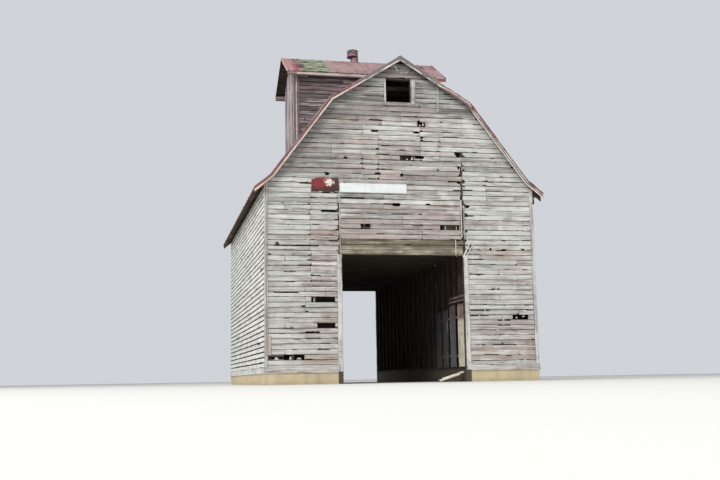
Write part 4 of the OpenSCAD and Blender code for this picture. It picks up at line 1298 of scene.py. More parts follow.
# The rails behind the boards and the slats over them, as (foot, height, end, light, paint, warmth).
GUARD_END, SLATS_END = GUARDS[-1][0] + (GUARD_BOARDS - 1) * GUARD_PITCH + GUARD_W, -4.51
RAILS = ((0.76, 0.09, GUARD_END, 0.2, 0.1, 0.4), (1.97, 0.09, GUARD_END, 0.2, 0.1, 0.4),
         (2.475, 0.07, SLATS_END, 0.22, 0.15, 0.8), (2.595, 0.07, SLATS_END, 0.20, 0.10, 0.8))


class BARN_OT_driveway_guards(Operator):
    """Builds the upright boards, rails and slats on the driveway face of the right crib"""
    bl_idname = "barn.driveway_guards"
    bl_label = "Driveway Guards"

    def execute(self, context):
        low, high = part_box("driveway_guards")
        boards = Boards(51)
        boards.place((low.x + GUARD_T, 0, 0), (0, 0, 1), (0, 1, 0))
        for start, top, tone in GUARDS:
            for number in range(GUARD_BOARDS):
                a = start + number * GUARD_PITCH
                cut = top - abs(boards.random.normal(0, 0.015))
                self.stained(boards, a, a + GUARD_W, low.z, cut, np.array(tone))
        boards.place((high.x, 0, 0), (0, -1, 0), (0, 0, 1))
        for foot, tall, stop, *tone in RAILS:
            boards.plank(-stop, -low.y, foot, foot + tall, 1.0, tone=tone, lift=GUARD_T)
        boards.piece("guard_boards", guard_finish(), "pale_boards", "driveway_guards")
        return {"FINISHED"}

    def stained(self, boards, a, b, foot, top, tone):
        """One upright board, darker and pinker at its top."""
        def look(height, _):
            share = soft_step(height, top - 0.62, top - 0.40)[:, None]
            return tone * (1 - share) + (tone * (0.45, 0.25, 1.0) + (0, 0, 0.4)) * share
        own = boards.random.normal(0, 0.05, 3)
        boards.board((foot, foot), (top, top - 0.02), a, b, tone=own, look=look, lift=GUARD_T,
                     chips=boards.nicks(foot, top, a, b, 0.4))


class BARN_OT_trim(Operator):
    """Builds corner boards, jambs, skirts and hatch casings"""
    bl_idname = "barn.trim"
    bl_label = "Trim Boards"

    CORNER_W, JAMB_W, SKIRT_T = 0.11, 0.15, 0.025

    def execute(self, context):
        parts = {"corner_boards": self.corners, "door_jambs": self.jambs, "skirt_boards": self.skirts,
                 "hatch_trim": self.hatch}
        for number, (node, build) in enumerate(parts.items()):
            boards = Boards(61 + number)
            build(boards)
            boards.piece(node + "_worn", siding_finish(), "pale_boards", node)
        return {"FINISHED"}

    def upright(self, boards, side, x0, x1, z0, z1, tone, rate):
        """An upright board on the front, where side is -1, or on the rear."""
        boards.place((0, side * HALF_L, 0), (0, 0, 1), (side, 0, 0))
        a, b = sorted((side * x0, side * x1))
        boards.plank(z0, z1, a, b, rate, tone=tone, lift=BOARD_T, waver=0.001)

    def corners(self, boards):
        foot, top = edge("skirt_boards", HIGH, Z), edge("corner_boards", HIGH, Z) - 0.10
        left, right = -HALF_W, HALF_W - self.CORNER_W
        left_end, low_foot, low_top = left + self.CORNER_W, 0.855, 1.48
        upper, split = low_top + 0.005, left + 0.052
        for x0, x1, z0, z1, tone, rate in (
            (left, left_end, foot, low_foot, (0.55, 0.45, 0.45), 4.0),
            (left, left_end, low_foot + 0.004, low_top, (0.46, 0.16, 0.75), 0.8),
            (left, split, upper, top, (0.52, 0.45, 0.25), 0.8),
            (split + 0.01, left_end, upper, top, (0.46, 0.40, 0.35), 0.8),
            (right, HALF_W, foot, low_top, (0.78, 0.78, 0.25), 1.2),
            (right, HALF_W, upper, top, (0.60, 0.55, 0.65), 0.8),
        ):
            self.upright(boards, -1, x0, x1, z0, z1, tone, rate)
        for x in (left, right):
            self.upright(boards, 1, x, x + self.CORNER_W, foot, top, (0.5, 0.45, 0.3), 0.8)

    def jambs(self, boards):
        for side in (-1, 1):
            for x, tone in ((-DOOR_X - self.JAMB_W, (0.66, 0.64, 0.32)), (DOOR_X, (0.68, 0.60, 0.36))):
                self.upright(boards, side, x, x + self.JAMB_W, WALL_FOOT, LINTEL, tone, 3.0)

    def skirts(self, boards):
        low, high = edge("skirt_boards", LOW, Z), edge("skirt_boards", HIGH, Z)

        def level(a, b, tone):
            boards.plank(a, b, low, high, 1.2, thick=self.SKIRT_T, lift=self.SKIRT_T, tone=tone)
        inner, outer, end = DOOR_X + self.JAMB_W, HALF_W - 0.002, HALF_L + self.SKIRT_T
        for out in (-1, 1):
            boards.place((0, out * HALF_L, 0), (-out, 0, 0), (0, 0, 1))
            level(-outer, -inner, (0.62, 0.50, 0.50))
            level(inner, outer, (0.62, 0.44, 0.60))
            boards.place((out * HALF_W, 0, 0), (0, out, 0), (0, 0, 1))
            for a, b in pairwise(np.linspace(-end, end, 5)):
                level(a + 0.002, b - 0.002, (0.74, 0.70, 0.30))

    def hatch(self, boards):
        left_w, right_w, sill_h = 0.06, 0.15, 0.052
        for side in (-1, 1):
            for x, wide, tone in ((HATCH_LEFT - left_w, left_w, (0.54, 0.50, 0.05)),
                                  (HATCH_RIGHT, right_w, (0.52, 0.50, 0.05))):
                self.upright(boards, side, x, x + wide, HATCH_FOOT, HATCH_TOP, tone, 3.0)
        boards.place((0, -HALF_L, 0), (1, 0, 0), (0, 0, 1))
        a, b, top = HATCH_LEFT - 0.08, HATCH_RIGHT + 0.13, HATCH_FOOT - 0.003
        boards.plank(a, b, top - sill_h, top, 2, tone=(0.40, 0.25, 0.4), lift=BOARD_T)


# Strips nailed on the front, as (x, z of the foot, x, z of the top, width, light, paint, warmth).
BATTENS = (
    (1.225, 8.40, 1.248, 9.19, 0.05, 0.34, 0.30, 0.15), (1.885, 4.42, 1.885, 5.62, 0.040, 0.60, 0.55, 0.45),
    (1.972, 4.36, 1.968, 5.36, 0.032, 0.56, 0.5, 0.35), (-1.965, 3.87, -1.965, 5.70, 0.026, 0.62, 0.5, 0.35),
    (1.675, 3.87, 1.675, 4.36, 0.026, 0.86, 0.9, 0.10),
    (1.90, 3.80, 2.16, 4.30, 0.050, 0.80, 0.75, 0.30), (1.98, 3.78, 2.24, 4.24, 0.030, 0.76, 0.7, 0.35),
    (-0.052, 9.66, -0.155, 9.865, 0.034, 0.92, 0.95, 0.1), (0.20, 9.47, 0.033, 9.62, 0.020, 0.66, 0.6, 0.15),
    (0.36, 9.40, 0.20, 9.475, 0.018, 0.62, 0.6, 0.15), (0.20, 9.575, 0.345, 9.75, 0.018, 0.60, 0.5, 0.1),
    (-4.11, 0.86, -4.11, 1.43, 0.088, 0.46, 0.16, 0.75),
)
# Timbers behind the studs, as (x, x, z, z, tone, bits out of it).
GIRTS = ((-0.49, 0.40, 6.80, 7.0, (0.05, 0.0, 1.0), ((0.32, 0.5, 6.92, 7.1),)),
         (1.16, 1.92, 4.60, 4.85, (0.42, 0.1, 0.5), ((1.0, 1.33, 4.5, 4.84), (1.74, 2.1, 4.5, 4.84))))


class BARN_OT_battens(Operator):
    """Builds the strips nailed on the front and the timbers that show through two of its holes"""
    bl_idname = "barn.battens"
    bl_label = "Battens, Sticks and Girts"

    def execute(self, context):
        boards = Boards(65)
        for number, (x0, z0, x1, z1, wide, *tone) in enumerate(BATTENS):
            run = np.array((x1 - x0, 0, z1 - z0))
            reach = np.linalg.norm(run)
            run /= reach
            # Each strip starts a little further out, so that crossing ones don't cut each other.
            boards.place((x0, -HALF_L - 0.001 * number, z0), run, np.cross((0, -1, 0), run))
            boards.board((0, 0.01), (reach, reach - 0.02), -wide / 2, wide / 2, thick=0.014, lift=0.018,
                         tone=tone, waver=0.001, bow=0.001,
                         chips=boards.nicks(0, reach, -wide / 2, wide / 2, 0.6))
        boards.piece("front_battens", siding_finish(), "pale_boards")
        girt = Boards(66)
        girt.place((0, edge("front_studs", HIGH, Y), 0), (1, 0, 0), (0, 0, 1))
        for x0, x1, z0, z1, tone, chips in GIRTS:
            girt.board((x0, x0), (x1, x1), z0, z1, tone=tone, lift=-0.001, chips=chips)
        girt.piece("front_girt", lintel_finish(), "dark_timber")
        return {"FINISHED"}


class BARN_OT_signs(Operator):
    """Builds the bare white board and the flaking red panel"""
    bl_idname = "barn.signs"
    bl_label = "Bare Signs"

    FOOT, WHITE_TOP, RED_TOP = 5.770, 6.060, 6.210
    # Bits out of the red panel, as (x, x, z, z).
    BITS = ((-2.84, -2.70, 6.16, 6.22), (-2.12, -1.97, 5.76, 5.81), (-2.42, -2.20, 6.185, 6.22),
            (-2.60, -2.45, 5.76, 5.79))

    def execute(self, context):
        white, red = front_boards(71), front_boards(72)
        white.board((-1.955, -1.955), (0.145, 0.145), self.FOOT, self.WHITE_TOP, thick=0.019, lift=0.020,
                    waver=0.0008, bow=0.002, step=0.08)
        red.board((-2.83, -2.815), (-1.98, -1.99), self.FOOT, self.RED_TOP, thick=0.012, lift=0.014,
                  waver=0.003, bow=0.010, step=0.04, chips=self.BITS)
        white.piece("white_board", white_sign_finish(), "white_sign", "signboards")
        red.piece("red_panel", red_panel_finish(), "rusty_roof")
        return {"FINISHED"}


# Broken boards on the floor, as (x, y, z, length, width, turn, lean in degrees, light, paint, warmth).
LYING = ((1.155, -5.675, 0.002, 0.76, 0.14, 0, 0, 0.5, 0.35, 0.6),
         (1.09, -5.80, 0.002, 0.42, 0.08, 9, 0, 0.45, 0.2, 0.7),
         (1.22, -5.74, 0.026, 0.30, 0.07, 40, 0, 0.42, 0.2, 0.7),
         (1.46, -5.66, 0.026, 0.34, 0.08, 12, 0, 0.4, 0.2, 0.7),
         (1.10, -5.73, 0.004, 0.19, 0.11, -4, 38, 0.4, 0.1, 0.9),
         (1.70, -5.72, 0.004, 0.16, 0.10, 6, 40, 0.4, 0.1, 0.9))


class BARN_OT_fallen_boards(Operator):
    """Builds the broken boards that lie and lean by the right crib"""
    bl_idname = "barn.fallen_boards"
    bl_label = "Fallen Boards"

    def execute(self, context):
        boards = Boards(81)
        low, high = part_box("fallen_boards")
        wide, thick, above = 0.14, 0.021, 0.002
        # The leaning one rests on the pad with one end, and its far edge lies on the boards behind it.
        run = np.array((high.x - 0.022 - low.x, 0, 0.25))
        reach = np.linalg.norm(run)
        over = np.cross(np.cross(run, (0, 0.85, 0.53)), run)
        boards.place((low.x + 0.022, low.y + 0.020, above), run / reach, over / np.linalg.norm(over))
        boards.board((0.0, 0.02), (reach, reach - 0.03), 0.0, wide, thick=thick, lift=thick,
                     tone=(0.82, 0.75, 0.40),
                     chips=((-0.05, 0.12, 0.09, 0.15), (reach - 0.2, reach + 0.05, -0.01, 0.05)))
        for x, y, z, reach, wide, turn, lean, *tone in LYING:
            a, b = radians(turn), radians(lean)
            boards.place((x, y, z), (cos(a), sin(a), 0), (-sin(a) * cos(b), cos(a) * cos(b), sin(b)))
            boards.board((0, 0.03), (reach, reach - 0.04), 0.0, wide, thick=thick, lift=thick, tone=tone,
                         chips=boards.nicks(0, reach, 0, wide, 4), bow=0.001)
        boards.piece("fallen_planks", guard_finish(), "pale_boards", "fallen_boards")
        return {"FINISHED"}


# Roofs


RUNS = {"Run 1": "vector", "Run 2": "vector", "Run 3": "vector"}


@node_tree("along the roof", "GeometryNodeTree", {"Share": 0.0, **RUNS}, {
    "Point": "vector", "Facing": "vector", "Reach": "number"})
def roof_path(net, given, made):
    """A point on a roof of three slopes, the way it faces and its distance down from the ridge.

    Share goes from 0 at the ridge to 3 at the eave.
    """
    point, facing_way, reach = None, None, 0.0
    for number, name in enumerate(RUNS):
        run = given[name]
        part = net.clamp(given["Share"] - float(number))
        _, out, down = net.split(run)
        normal = net.math("NORMALIZE", net.xyz(0.0, down * -1.0, out))
        point = run * part if point is None else point + run * part
        reach = net.reach(run) * part + reach
        if facing_way is None:
            facing_way = normal
        else:
            past = net.math("GREATER_THAN", given["Share"], number + 0.001)
            facing_way = net.add("ShaderNodeMix", {0: past, 4: facing_way, 5: normal}, 1, data_type="VECTOR")
    net.give(made, Point=point, Facing=facing_way, Reach=reach)


@node_tree("seamed sheets", "GeometryNodeTree", {
    "Geometry": "geometry", "Length": 12.5, "Sheets": 20, "Rows": 8, **RUNS, "Top": 10.0,
    "Seam Width": 0.05, "Seam Height": 0.02, "Thickness": 0.003, "Dents": 0.006, "Seed": 1,
    "Material": "material",
}, {"Geometry": "geometry"})
def seamed_sheets(net, given, made):
    """Sheets with standing seams down a roof that falls to +Y, closed all round."""
    # A sheet has six columns of points, the first four over its seam.
    columns = given["Sheets"] * 6.0 + 4.0
    sheet = net.add("GeometryNodeMeshGrid", {0: 1.0, 1: 1.0, 2: columns, 3: given["Rows"] * 3.0 + 1.0})
    across, down, _ = net.inside()
    column = net.math("ROUND", across * (columns - 1.0))
    number = net.math("FLOOR", (column + 0.5) / 6.0)
    step = column - number * 6.0
    seam = given["Seam Width"]
    wide = (given["Length"] - seam) / given["Sheets"]
    pan = wide - seam
    on_seam = net.math("MINIMUM", step, 3.0)
    offset = seam * net.clamp(on_seam * 0.4 - 0.1) + pan * (step - on_seam) * (1 / 3)
    x = number * wide + offset - given["Length"] * 0.5
    raised = net.math("COMPARE", step, 1.5, 0.6)
    path = net.group(roof_path(), {"Share": down * 3.0, **{name: given[name] for name in RUNS}})
    dent = net.noise(path["Point"] + net.xyz(x, 0.0, given["Seed"]), 1.1, 3.0, 0.6) - 0.35
    lift = raised * given["Seam Height"] + dent * given["Dents"]
    place = net.xyz(x, 0.0, given["Top"]) + path["Point"] + path["Facing"] * lift
    slope = net.math("FLOOR", down * 2.999)
    light = net.random(0.15, 0.85, number + slope * 97.0, given["Seed"])
    sheet = net.store(sheet, "FLOAT_VECTOR", tone=net.xyz(light - raised * 0.3, 0.0, 0.0),
                      grain=net.xyz(x, path["Reach"], given["Seed"] + number * 0.4))
    sheet = net.add("GeometryNodeSetPosition", {0: sheet, 2: place})
    upper = net.add("GeometryNodeExtrudeMesh", {0: sheet, 3: given["Thickness"], 4: False}, mode="FACES")
    both = net.add("GeometryNodeJoinGeometry", {0: upper})
    net.tree.links.new(both.socket.node.inputs[0], net.add("GeometryNodeFlipFaces", {0: sheet}).socket)
    shell = net.add("GeometryNodeMergeByDistance", {0: both, 2: 0.0002})
    net.end(made, shell, given["Material"])


@node_tree("spaced roof boards", "GeometryNodeTree", {
    "Geometry": "geometry", "Length": 12.5, "Rows": 30, "Per Row": 4, "Pitch": 0.19, "Width": 0.15,
    "Thickness": BOARD_T, **RUNS, "Top": 10.0, "Seed": 1, "Material": "material",
}, {"Geometry": "geometry"})
def roof_boards(net, given, made):
    """Spaced boards under the sheets, along the ridge and one below the other."""
    spots = net.add("GeometryNodeMeshLine", {0: given["Rows"] * given["Per Row"], 3: (0.0, 0.0, 0.0)},
                    mode="OFFSET")
    index = net.add("GeometryNodeInputIndex")
    row = net.math("FLOOR", (index + 0.5) / given["Per Row"])
    spots = net.store(spots, "FLOAT", row=row, number=index - row * given["Per Row"],
                      own=net.random(0.0, 1.0, index, given["Seed"]))
    block = net.add("GeometryNodeMeshCube", {0: (1.0, 1.0, 1.0), 1: 5, 2: 2, 3: 2})
    rows = net.copies(spots, block)
    own = net.kept("own")
    along, across, up = net.inside()
    down = net.kept("row") * given["Pitch"] + 0.02 + across * given["Width"]
    share, before = 0.0, 0.0
    for name in RUNS:
        reach = net.reach(given[name])
        share = net.clamp((down - before) / reach) + share
        before = reach + before
    path = net.group(roof_path(), {"Share": share, **{name: given[name] for name in RUNS}})
    one = given["Length"] / given["Per Row"]
    x = (net.kept("number") + along * 0.998 + 0.001) * one - given["Length"] * 0.5
    sink = (up - 1.0) * given["Thickness"] - 0.004
    place = net.xyz(x, 0.0, given["Top"]) + path["Point"] + path["Facing"] * sink
    rows = net.store(rows, "FLOAT_VECTOR", grain=net.xyz(x, across * given["Width"], own * 9.0),
                     tone=net.xyz(own * 0.3 + 0.35, 0.1, own))
    rows = net.add("GeometryNodeSetPosition", {0: rows, 2: place})
    net.end(made, rows, given["Material"])


def roofing(points, angles, values, rows, per_row):
    """Sheets and the boards under them for a roof line that is turned by each of two angles."""
    s = bpy.context.scene.barn_roof
    runs = {f"Run {n + 1}": (0.0, b[0] - a[0], b[1] - a[1]) for n, (a, b) in enumerate(pairwise(points))}
    reach = sum(hypot(*run[1:]) for run in runs.values())
    sheets, laths = [], []
    for angle, seed in angles:
        turn = Matrix.Rotation(radians(angle), 4, "Z")
        # The seams and dents rise over the sheets, which lie a little under the roof line.
        base = {"Length": values["Length"], "Top": points[0][1] - 0.006, "Seed": seed, **runs}
        sheets.append(grown(seamed_sheets(), {**base, "Seam Height": s.rib_height, "Rows": rows,
                                              "Material": sheet_finish(), **values}, turn))
        laths.append(grown(roof_boards(), {**base, "Rows": int(reach / s.lath), "Per Row": per_row,
                                           "Pitch": s.lath, "Material": lining_finish()}, turn))
    return joined(sheets), joined(laths)


class BARN_OT_roof(Operator):
    """Grows sheets and roof boards of the gambrel roof"""
    bl_idname = "barn.roof"
    bl_label = "Main Roof"

    def execute(self, context):
        s = context.scene.barn_roof
        values = {"Length": 2 * ROOF_END, "Sheets": round(2 * ROOF_END / s.rib), "Dents": s.dents}
        sheets, laths = roofing(ROOF_LINE, ((-90, 91), (90, 92)), values, 9, 4)
        piece("roof_sheets", sheets, "rusty_roof", "roof_upper_left", "roof_upper_right", "roof_lower_left",
              "roof_lower_right")
        piece("roof_boards", laths, "dark_timber")
        return {"FINISHED"}


def bridged(mesh, rings):
    """Faces between each ring of points and the next. A ring may be a single point."""
    for a, b in pairwise(rings):
        sides = max(len(a), len(b))
        for k in range(sides):
            n = (k + 1) % sides
            corners = (a[k % len(a)], a[n % len(a)], b[n % len(b)], b[k % len(b)])
            mesh.faces.new(tuple(dict.fromkeys(corners)))


def turned_out(mesh, name, finish):
    """A plain mesh from a bmesh, its faces turned outwards."""
    bmesh.ops.recalc_face_normals(mesh, faces=mesh.faces)
    made = bpy.data.meshes.new(name)
    mesh.to_mesh(made)
    mesh.free()
    made.materials.append(finish)
    return made


class BARN_OT_verge(Operator):
    """Folds rusty metal over both gable edges of the main roof, ragged along its foot"""
    bl_idname = "barn.verge"
    bl_label = "Verge Metal"

    STEP, INWARD, SHEET = 0.07, 0.13, 0.003

    def execute(self, context):
        s = context.scene.barn_roof
        chance = np.random.default_rng(95)
        mesh = bmesh.new()
        for side in (-1, 1):
            y, level, rings = side * (ROOF_END + 0.024), 0.0, []
            for x, z, nx, nz in self.stations():
                level = 0.75 * level + chance.normal(0, 0.009)
                torn = 0.03 if chance.random() < 0.06 else 0
                near_peak = float(soft_step(-abs(x) + chance.normal(0, 0.12), -1.7, -1.2))
                up = 0.010 + max(-0.006, 0.6 * level)
                down = max(0.016, s.fold + (s.peak_fold - s.fold) * near_peak + level + torn)
                lean = 0.004 + abs(level) * 0.5
                section = ((-self.INWARD, 0.006), (0.0, up), (lean, -down), (lean - self.SHEET, -down),
                           (-self.SHEET, up - self.SHEET), (-self.INWARD, self.SHEET))
                rings.append([mesh.verts.new((x + nx * rise, y + side * out, z + nz * rise))
                              for out, rise in section])
            bridged(mesh, rings)
            for ring in (rings[0], rings[-1]):
                mesh.faces.new(ring)
        piece("verge_metal", turned_out(mesh, "verge_metal", verge_finish()), "rusty_roof")
        return {"FINISHED"}

    def stations(self):
        """Points along a gable's edge from the left eave to the right one, with the way out of the roof."""
        line = [(-x, z) for x, z in reversed(ROOF_LINE)] + list(ROOF_LINE[1:])
        for (x0, z0), (x1, z1) in pairwise(line):
            reach = hypot(x1 - x0, z1 - z0)
            for share in np.arange(0, 1, self.STEP / reach):
                yield x0 + (x1 - x0) * share, z0 + (z1 - z0) * share, (z0 - z1) / reach, (x1 - x0) / reach
        yield *line[-1], (z0 - z1) / reach, (x1 - x0) / reach


class BARN_OT_headhouse_siding(Operator):
    """Grows the level boards of the headhouse's front and rear and the upright ones of its ends"""
    bl_idname = "barn.headhouse_siding"
    bl_label = "Headhouse Siding"

    def execute(self, context):
        pitch = context.scene.barn_siding.pitch
        below = int((PEAK + 0.05 - HEAD_FOOT) / pitch)
        split = HEAD_FOOT + below * pitch
        above = round((HEAD_EAVE - split) / pitch)
        tone = {"Light": 0.46, "Paint": 0.20, "Warm": 0.35, "Spread": 0.6, "Material": head_finish(),
                "Waver": 0.004, "Gap": 0.018}
        fronts = []
        for out, y, seed in (("-y", -HEAD_Y, 101), ("+y", HEAD_Y, 111)):
            turn = facing(out, y=y)
            # Up to the main ridge the boards stop at its two slopes.
            fronts += [row_mesh(turn, **tone, From=-HEAD_X, To=0.0, Foot=HEAD_FOOT, Rows=below,
                                Right_Limit=-1.0, Seed=seed),
                       row_mesh(turn, **tone, From=0.0, To=HEAD_X, Foot=HEAD_FOOT, Rows=below,
                                Left_Limit=1.0, Seed=seed + 1),
                       row_mesh(turn, **tone, From=-HEAD_X, To=HEAD_X, Foot=split, Rows=above,
                                Pitch=(HEAD_EAVE + 0.02 - split) / above, Seed=seed + 2)]
        piece("headhouse_siding", joined(fronts), "headhouse_siding", "headhouse_front_wall",
              "headhouse_rear_wall")
        inner, count = HEAD_Y - BOARD_T, 10
        tone.update({"Light": 0.64, "Paint": 0.52, "Warm": 0.45, "Spread": 0.7, "Gap": 0.012})
        ends = []
        for side, seed in ((-1, 121), (1, 122)):
            # Rows that run up, lie beside each other along Y and face out along X.
            turn = Matrix(((0, -side, 0, side * HEAD_X), (0, 0, -side, 0), (1, 0, 0, 0), (0, 0, 0, 1)))
            ends.append(row_mesh(turn, **tone, From=HEAD_FOOT, To=HEAD_RIDGE, Foot=-inner, Rows=count,
                                 Pitch=2 * inner / count, Board_Length=20.0, Columns=12,
                                 Gable_Top=HEAD_RIDGE - 0.04, Gable_Fall=HEAD_FALL, Seed=seed))
        piece("headhouse_ends", joined(ends), "headhouse_siding", "headhouse_end_walls")
        return {"FINISHED"}


class BARN_OT_headhouse_roof(Operator):
    """Grows the sheets and roof boards of the headhouse and the strips along its gable edges"""
    bl_idname = "barn.headhouse_roof"
    bl_label = "Headhouse Roof"

    def execute(self, context):
        s = context.scene.barn_roof
        points = [(HEAD_ROOF_Y * n / 3, HEAD_RIDGE - HEAD_FALL * HEAD_ROOF_Y * n / 3) for n in range(4)]
        values = {"Length": 2 * HEAD_ROOF_X, "Sheets": 10, "Dents": s.dents * 2.0}
        sheets, laths = roofing(points, ((180, 131), (0, 132)), values, 6, 2)
        piece("headhouse_sheets", sheets, "rusty_roof", "headhouse_roof_front", "headhouse_roof_rear")
        piece("headhouse_roof_boards", laths, "dark_timber")
        boards = Boards(135)
        rise, level = HEAD_FALL / hypot(1, HEAD_FALL), 1 / hypot(1, HEAD_FALL)
        reach, wide, thick = HEAD_ROOF_Y / level, 0.045, 0.012
        for side in (-1, 1):
            for half in (-1, 1):
                # Each strip runs so that it faces away from the headhouse, up one slope or down the other.
                foot = half == -side
                start = (side * HEAD_ROOF_X, half * HEAD_ROOF_Y if foot else 0,
                         HEAD_RIDGE - (HEAD_FALL * HEAD_ROOF_Y if foot else 0))
                way = rise if foot else -rise
                boards.place(start, (0, side * level, way), (0, -side * way, level))
                boards.board((0, 0), (reach, reach), -wide - 0.004, -0.004, thick=thick, lift=thick,
                             tone=(0.62, 0.7, 0.5), waver=0.001, chips=boards.nicks(0, reach, -wide, 0, 1.5))
        boards.piece("headhouse_verge", guard_finish(), "pale_boards")
        return {"FINISHED"}


# Outlines of the ventilator, as (radius, height) from the foot to the middle of the top.
NECK = ((0.0, 0.0), (0.145, 0.0), (0.145, 0.10), (0.139, 0.104), (0.139, 0.148), (0.149, 0.153),
        (0.149, 0.163), (0.138, 0.168), (0.136, 0.243), (0.128, 0.246), (0.0, 0.246))
CAP = ((0.0, 0.0), (0.20, 0.0), (0.215, 0.008), (0.215, 0.022), (0.205, 0.030), (0.203, 0.075),
       (0.203, 0.12), (0.209, 0.126), (0.209, 0.136), (0.203, 0.142), (0.202, 0.185), (0.202, 0.225),
       (0.213, 0.236), (0.208, 0.250), (0.15, 0.278), (0.07, 0.296), (0.0, 0.300))


class BARN_OT_ventilator(Operator):
    """Builds the dented neck and the drooping cap of the ventilator"""
    bl_idname = "barn.ventilator"
    bl_label = "Ventilator"

    SIDES, DROOP = 32, 0.022

    def execute(self, context):
        self.turned("ventilator_neck", "vent_neck", NECK, 0.0)
        self.turned("ventilator_cap", "vent_cap", CAP, self.DROOP)
        return {"FINISHED"}

    def turned(self, name, node, outline, droop):
        low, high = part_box(node)
        centre, tall = (low + high) / 2, outline[-1][1]
        mesh, rings = bmesh.new(), []
        angles = [2 * pi * k / self.SIDES for k in range(self.SIDES)]
        for radius, height in outline:
            # The cap hangs towards -X at its foot, where it is dented most.
            sag = droop * (1 - height / tall)
            ring = []
            for a in angles if radius else (0.0,):
                dent = 1 - 0.05 * max(0.0, cos(a - 4.1)) ** 6 * sin(pi * height / tall)
                dent -= 0.035 * max(0.0, cos(a - 5.4)) ** 8 * (1 - height / tall)
                out = radius * dent
                drop = 0.5 * sag * max(0.0, -cos(a)) * (radius > 0.19)
                ring.append(mesh.verts.new((centre.x + out * cos(a) - sag * 0.5 * (radius > 0.19),
                                            centre.y + out * sin(a), low.z + height - drop)))
            rings.append(ring)
        bridged(mesh, rings)
        piece(name, turned_out(mesh, name, vent_finish()), "rusty_vent", node)


@node_tree("nail heads", "GeometryNodeTree", {
    "Geometry": "geometry", "Radius": 0.006, "Height": 0.003, "Material": "material",
}, {"Geometry": "geometry"})
def nail_heads(net, given, made):
    """A low nail head on each point, facing -Y."""
    head = net.add("GeometryNodeMeshCone", {0: 7, 1: 1, 2: 1, 3: given["Radius"] * 0.6, 4: given["Radius"],
                                            5: given["Height"]})
    turned = net.add("GeometryNodeTransform", {0: head, 2: (radians(90), 0.0, 0.0)})
    net.end(made, net.copies(given["Geometry"], turned), given["Material"])


class BARN_OT_nails(Operator):
    """Sets rusty nail heads in the boards over each stud of the front"""
    bl_idname = "barn.nails"
    bl_label = "Nail Heads"

    def execute(self, context):
        pitch = context.scene.barn_siding.pitch
        chance = np.random.default_rng(141)
        sides = sorted({round(v.co.x, 3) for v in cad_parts["front_studs"].data.vertices})
        studs = [(a + b) / 2 for a, b in zip(sides[::2], sides[1::2])]
        spots = []
        for x in studs:
            first = LEFT_FOOT if x < -DOOR_X else RIGHT_FOOT if x > DOOR_X else UPPER_FOOT
            for row in range(int((PEAK - first) / pitch)):
                z = first + row * pitch
                inside = abs(x) < min(half_width(z + pitch), HALF_W - 0.12) - 0.05
                if not inside or self.in_a_hole(x, z, z + pitch):
                    continue
                for up in (0.03, 0.11):
                    if chance.random() < 0.75:
                        stray = chance.normal(0, 0.006, 2)
                        spots.append((x + stray[0], -HALF_L - 0.001, z + up + stray[1]))
        points = bpy.data.meshes.new("nail_spots")
        points.from_pydata(spots, [], [])
        piece("nail_heads", grown(nail_heads(), {"Material": nail_finish()}, start=points), "grey_siding")
        return {"FINISHED"}

    def in_a_hole(self, x, low, high):
        """True where a row has a break or the hatch at x."""
        openings = (*FRONT_HOLES, (HATCH_LEFT, HATCH_RIGHT, HATCH_FOOT, HATCH_TOP))
        return any(x0 - 0.02 < x < x1 + 0.02 and z0 < high and z1 > low for x0, x1, z0, z1 in openings)


class BARN_OT_frame_finishes(Operator):
    """Gives timber, trim and concrete of the frame their finishes"""
    bl_idname = "barn.frame_finishes"
    bl_label = "Frame Finishes"

    def execute(self, context):
        finishes = {
            timber_finish("upright"): ("front_studs", "rear_studs", "side_studs", "alley_studs",
                                       "headhouse_studs"),
            timber_finish("level"): ("sills", "headers", "eave_plates", "purlins", "loft_joists",
                                     "collar_ties", "headhouse_beams"),
            timber_finish("sloping"): ("upper_rafters", "lower_rafters", "headhouse_rafters"),
            rake_finish(): ("rake_boards",),
            head_trim_finish(): ("headhouse_trim",),
            concrete_finish(): ("foundation_left", "foundation_right"),
        }
        for finish, nodes in finishes.items():
            for name in nodes:
                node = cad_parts[name]
                if not node.material_slots:
                    node.data.materials.append(finish)
                for slot in node.material_slots:
                    slot.material = finish
        return {"FINISHED"}


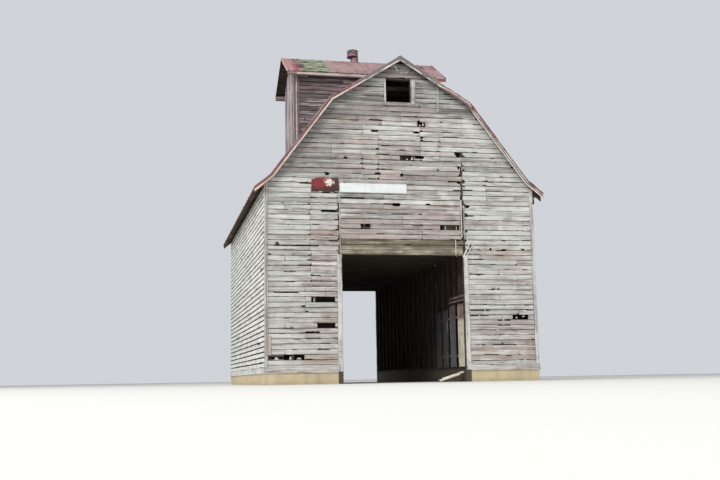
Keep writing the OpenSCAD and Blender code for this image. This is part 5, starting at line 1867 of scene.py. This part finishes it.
class BARN_OT_stage(Operator):
    """Sets up floor, light and camera"""
    bl_idname = "barn.stage"
    bl_label = "Stage"

    # The camera as solved from the photo: how it is turned, its focal length in pixels and its place.
    YAW, PITCH, ROLL = 0.2123982, 0.1420443, -0.0172938
    FOCAL, PHOTO_W, SENSOR = 973.994, 720, 36.0
    EYE = (-7.512, -34.678, 0.126)

    def execute(self, context):
        s = context.scene.barn_stage
        self.floor(400.0)
        world = bpy.data.worlds.new("soft sky")
        world.use_nodes = True
        background = world.node_tree.nodes["Background"].inputs
        background["Color"].default_value = rgb(236, 240, 246)
        background["Strength"].default_value = s.sky
        context.scene.world = world
        self.lamp("key", (-34, -44, 40), 26, s.key)
        self.lamp("fill", (30, -50, 26), 34, s.key * 0.25)
        self.lamp("side", (-46, -4, 20), 26, s.key * 0.22)
        self.camera()
        context.scene.view_settings.view_transform = "Standard"
        return {"FINISHED"}

    def floor(self, reach):
        mesh = bpy.data.meshes.new("floor")
        corners = [(x * reach, y * reach, 0) for x, y in ((-1, -1), (1, -1), (1, 1), (-1, 1))]
        mesh.from_pydata(corners, [], [(0, 1, 2, 3)])
        mesh.materials.append(floor_finish())
        in_scene("floor", mesh)

    def lamp(self, name, place, size, power):
        """A large soft lamp that shines on the barn."""
        lamp = bpy.data.lights.new(name, "AREA")
        lamp.shape, lamp.size, lamp.energy = "DISK", size, power
        light = in_scene(name, lamp)
        light.location = place
        light.rotation_euler = (Vector((0, -2, 5)) - Vector(place)).to_track_quat("-Z", "Y").to_euler()

    def camera(self):
        yaw, pitch, roll = self.YAW, self.PITCH, self.ROLL
        ahead = Vector((sin(yaw) * cos(pitch), cos(yaw) * cos(pitch), sin(pitch)))
        right = Vector((cos(yaw), -sin(yaw), 0))
        up = right.cross(ahead)
        level, rise = cos(roll) * right + sin(roll) * up, cos(roll) * up - sin(roll) * right
        lens = bpy.data.cameras.new("camera")
        lens.sensor_width, lens.lens = self.SENSOR, self.SENSOR * self.FOCAL / self.PHOTO_W
        lens.clip_end = 2000
        camera = in_scene("camera", lens)
        turn = Matrix((level, rise, -ahead)).transposed().to_4x4()
        camera.matrix_world = Matrix.Translation(self.EYE) @ turn
        bpy.context.scene.camera = camera


STEPS = (
    BARN_OT_stage, BARN_OT_frame_finishes, BARN_OT_front_siding, BARN_OT_lintel_boards,
    BARN_OT_left_siding, BARN_OT_plain_siding, BARN_OT_lining, BARN_OT_driveway_guards, BARN_OT_trim,
    BARN_OT_battens, BARN_OT_signs, BARN_OT_fallen_boards, BARN_OT_roof, BARN_OT_verge,
    BARN_OT_headhouse_siding, BARN_OT_headhouse_roof, BARN_OT_ventilator, BARN_OT_nails,
)
SETTINGS = {"barn_siding": BarnSiding, "barn_roof": BarnRoof, "barn_colours": BarnColours,
            "barn_stage": BarnStage}


class BARN_PT_panel(Panel):
    bl_idname = "BARN_PT_panel"
    bl_label = "Corn Crib Barn"
    bl_space_type = "VIEW_3D"
    bl_region_type = "UI"
    bl_category = "Barn"

    def draw(self, context):
        for name, group in SETTINGS.items():
            box = self.layout.box()
            for label in group.__annotations__:
                box.prop(getattr(context.scene, name), label)
        for step in STEPS:
            self.layout.operator(step.bl_idname)


CLASSES = (*SETTINGS.values(), *STEPS, BARN_PT_panel)


def register():
    for item in CLASSES:
        bpy.utils.register_class(item)
    for name, group in SETTINGS.items():
        setattr(bpy.types.Scene, name, PointerProperty(type=group))


def unregister():
    for name in SETTINGS:
        delattr(bpy.types.Scene, name)
    for item in reversed(CLASSES):
        bpy.utils.unregister_class(item)


def main():
    register()
    for step in STEPS:
        group, name = step.bl_idname.split(".")
        getattr(getattr(bpy.ops, group), name)()


if __name__ == "__main__":
    main()
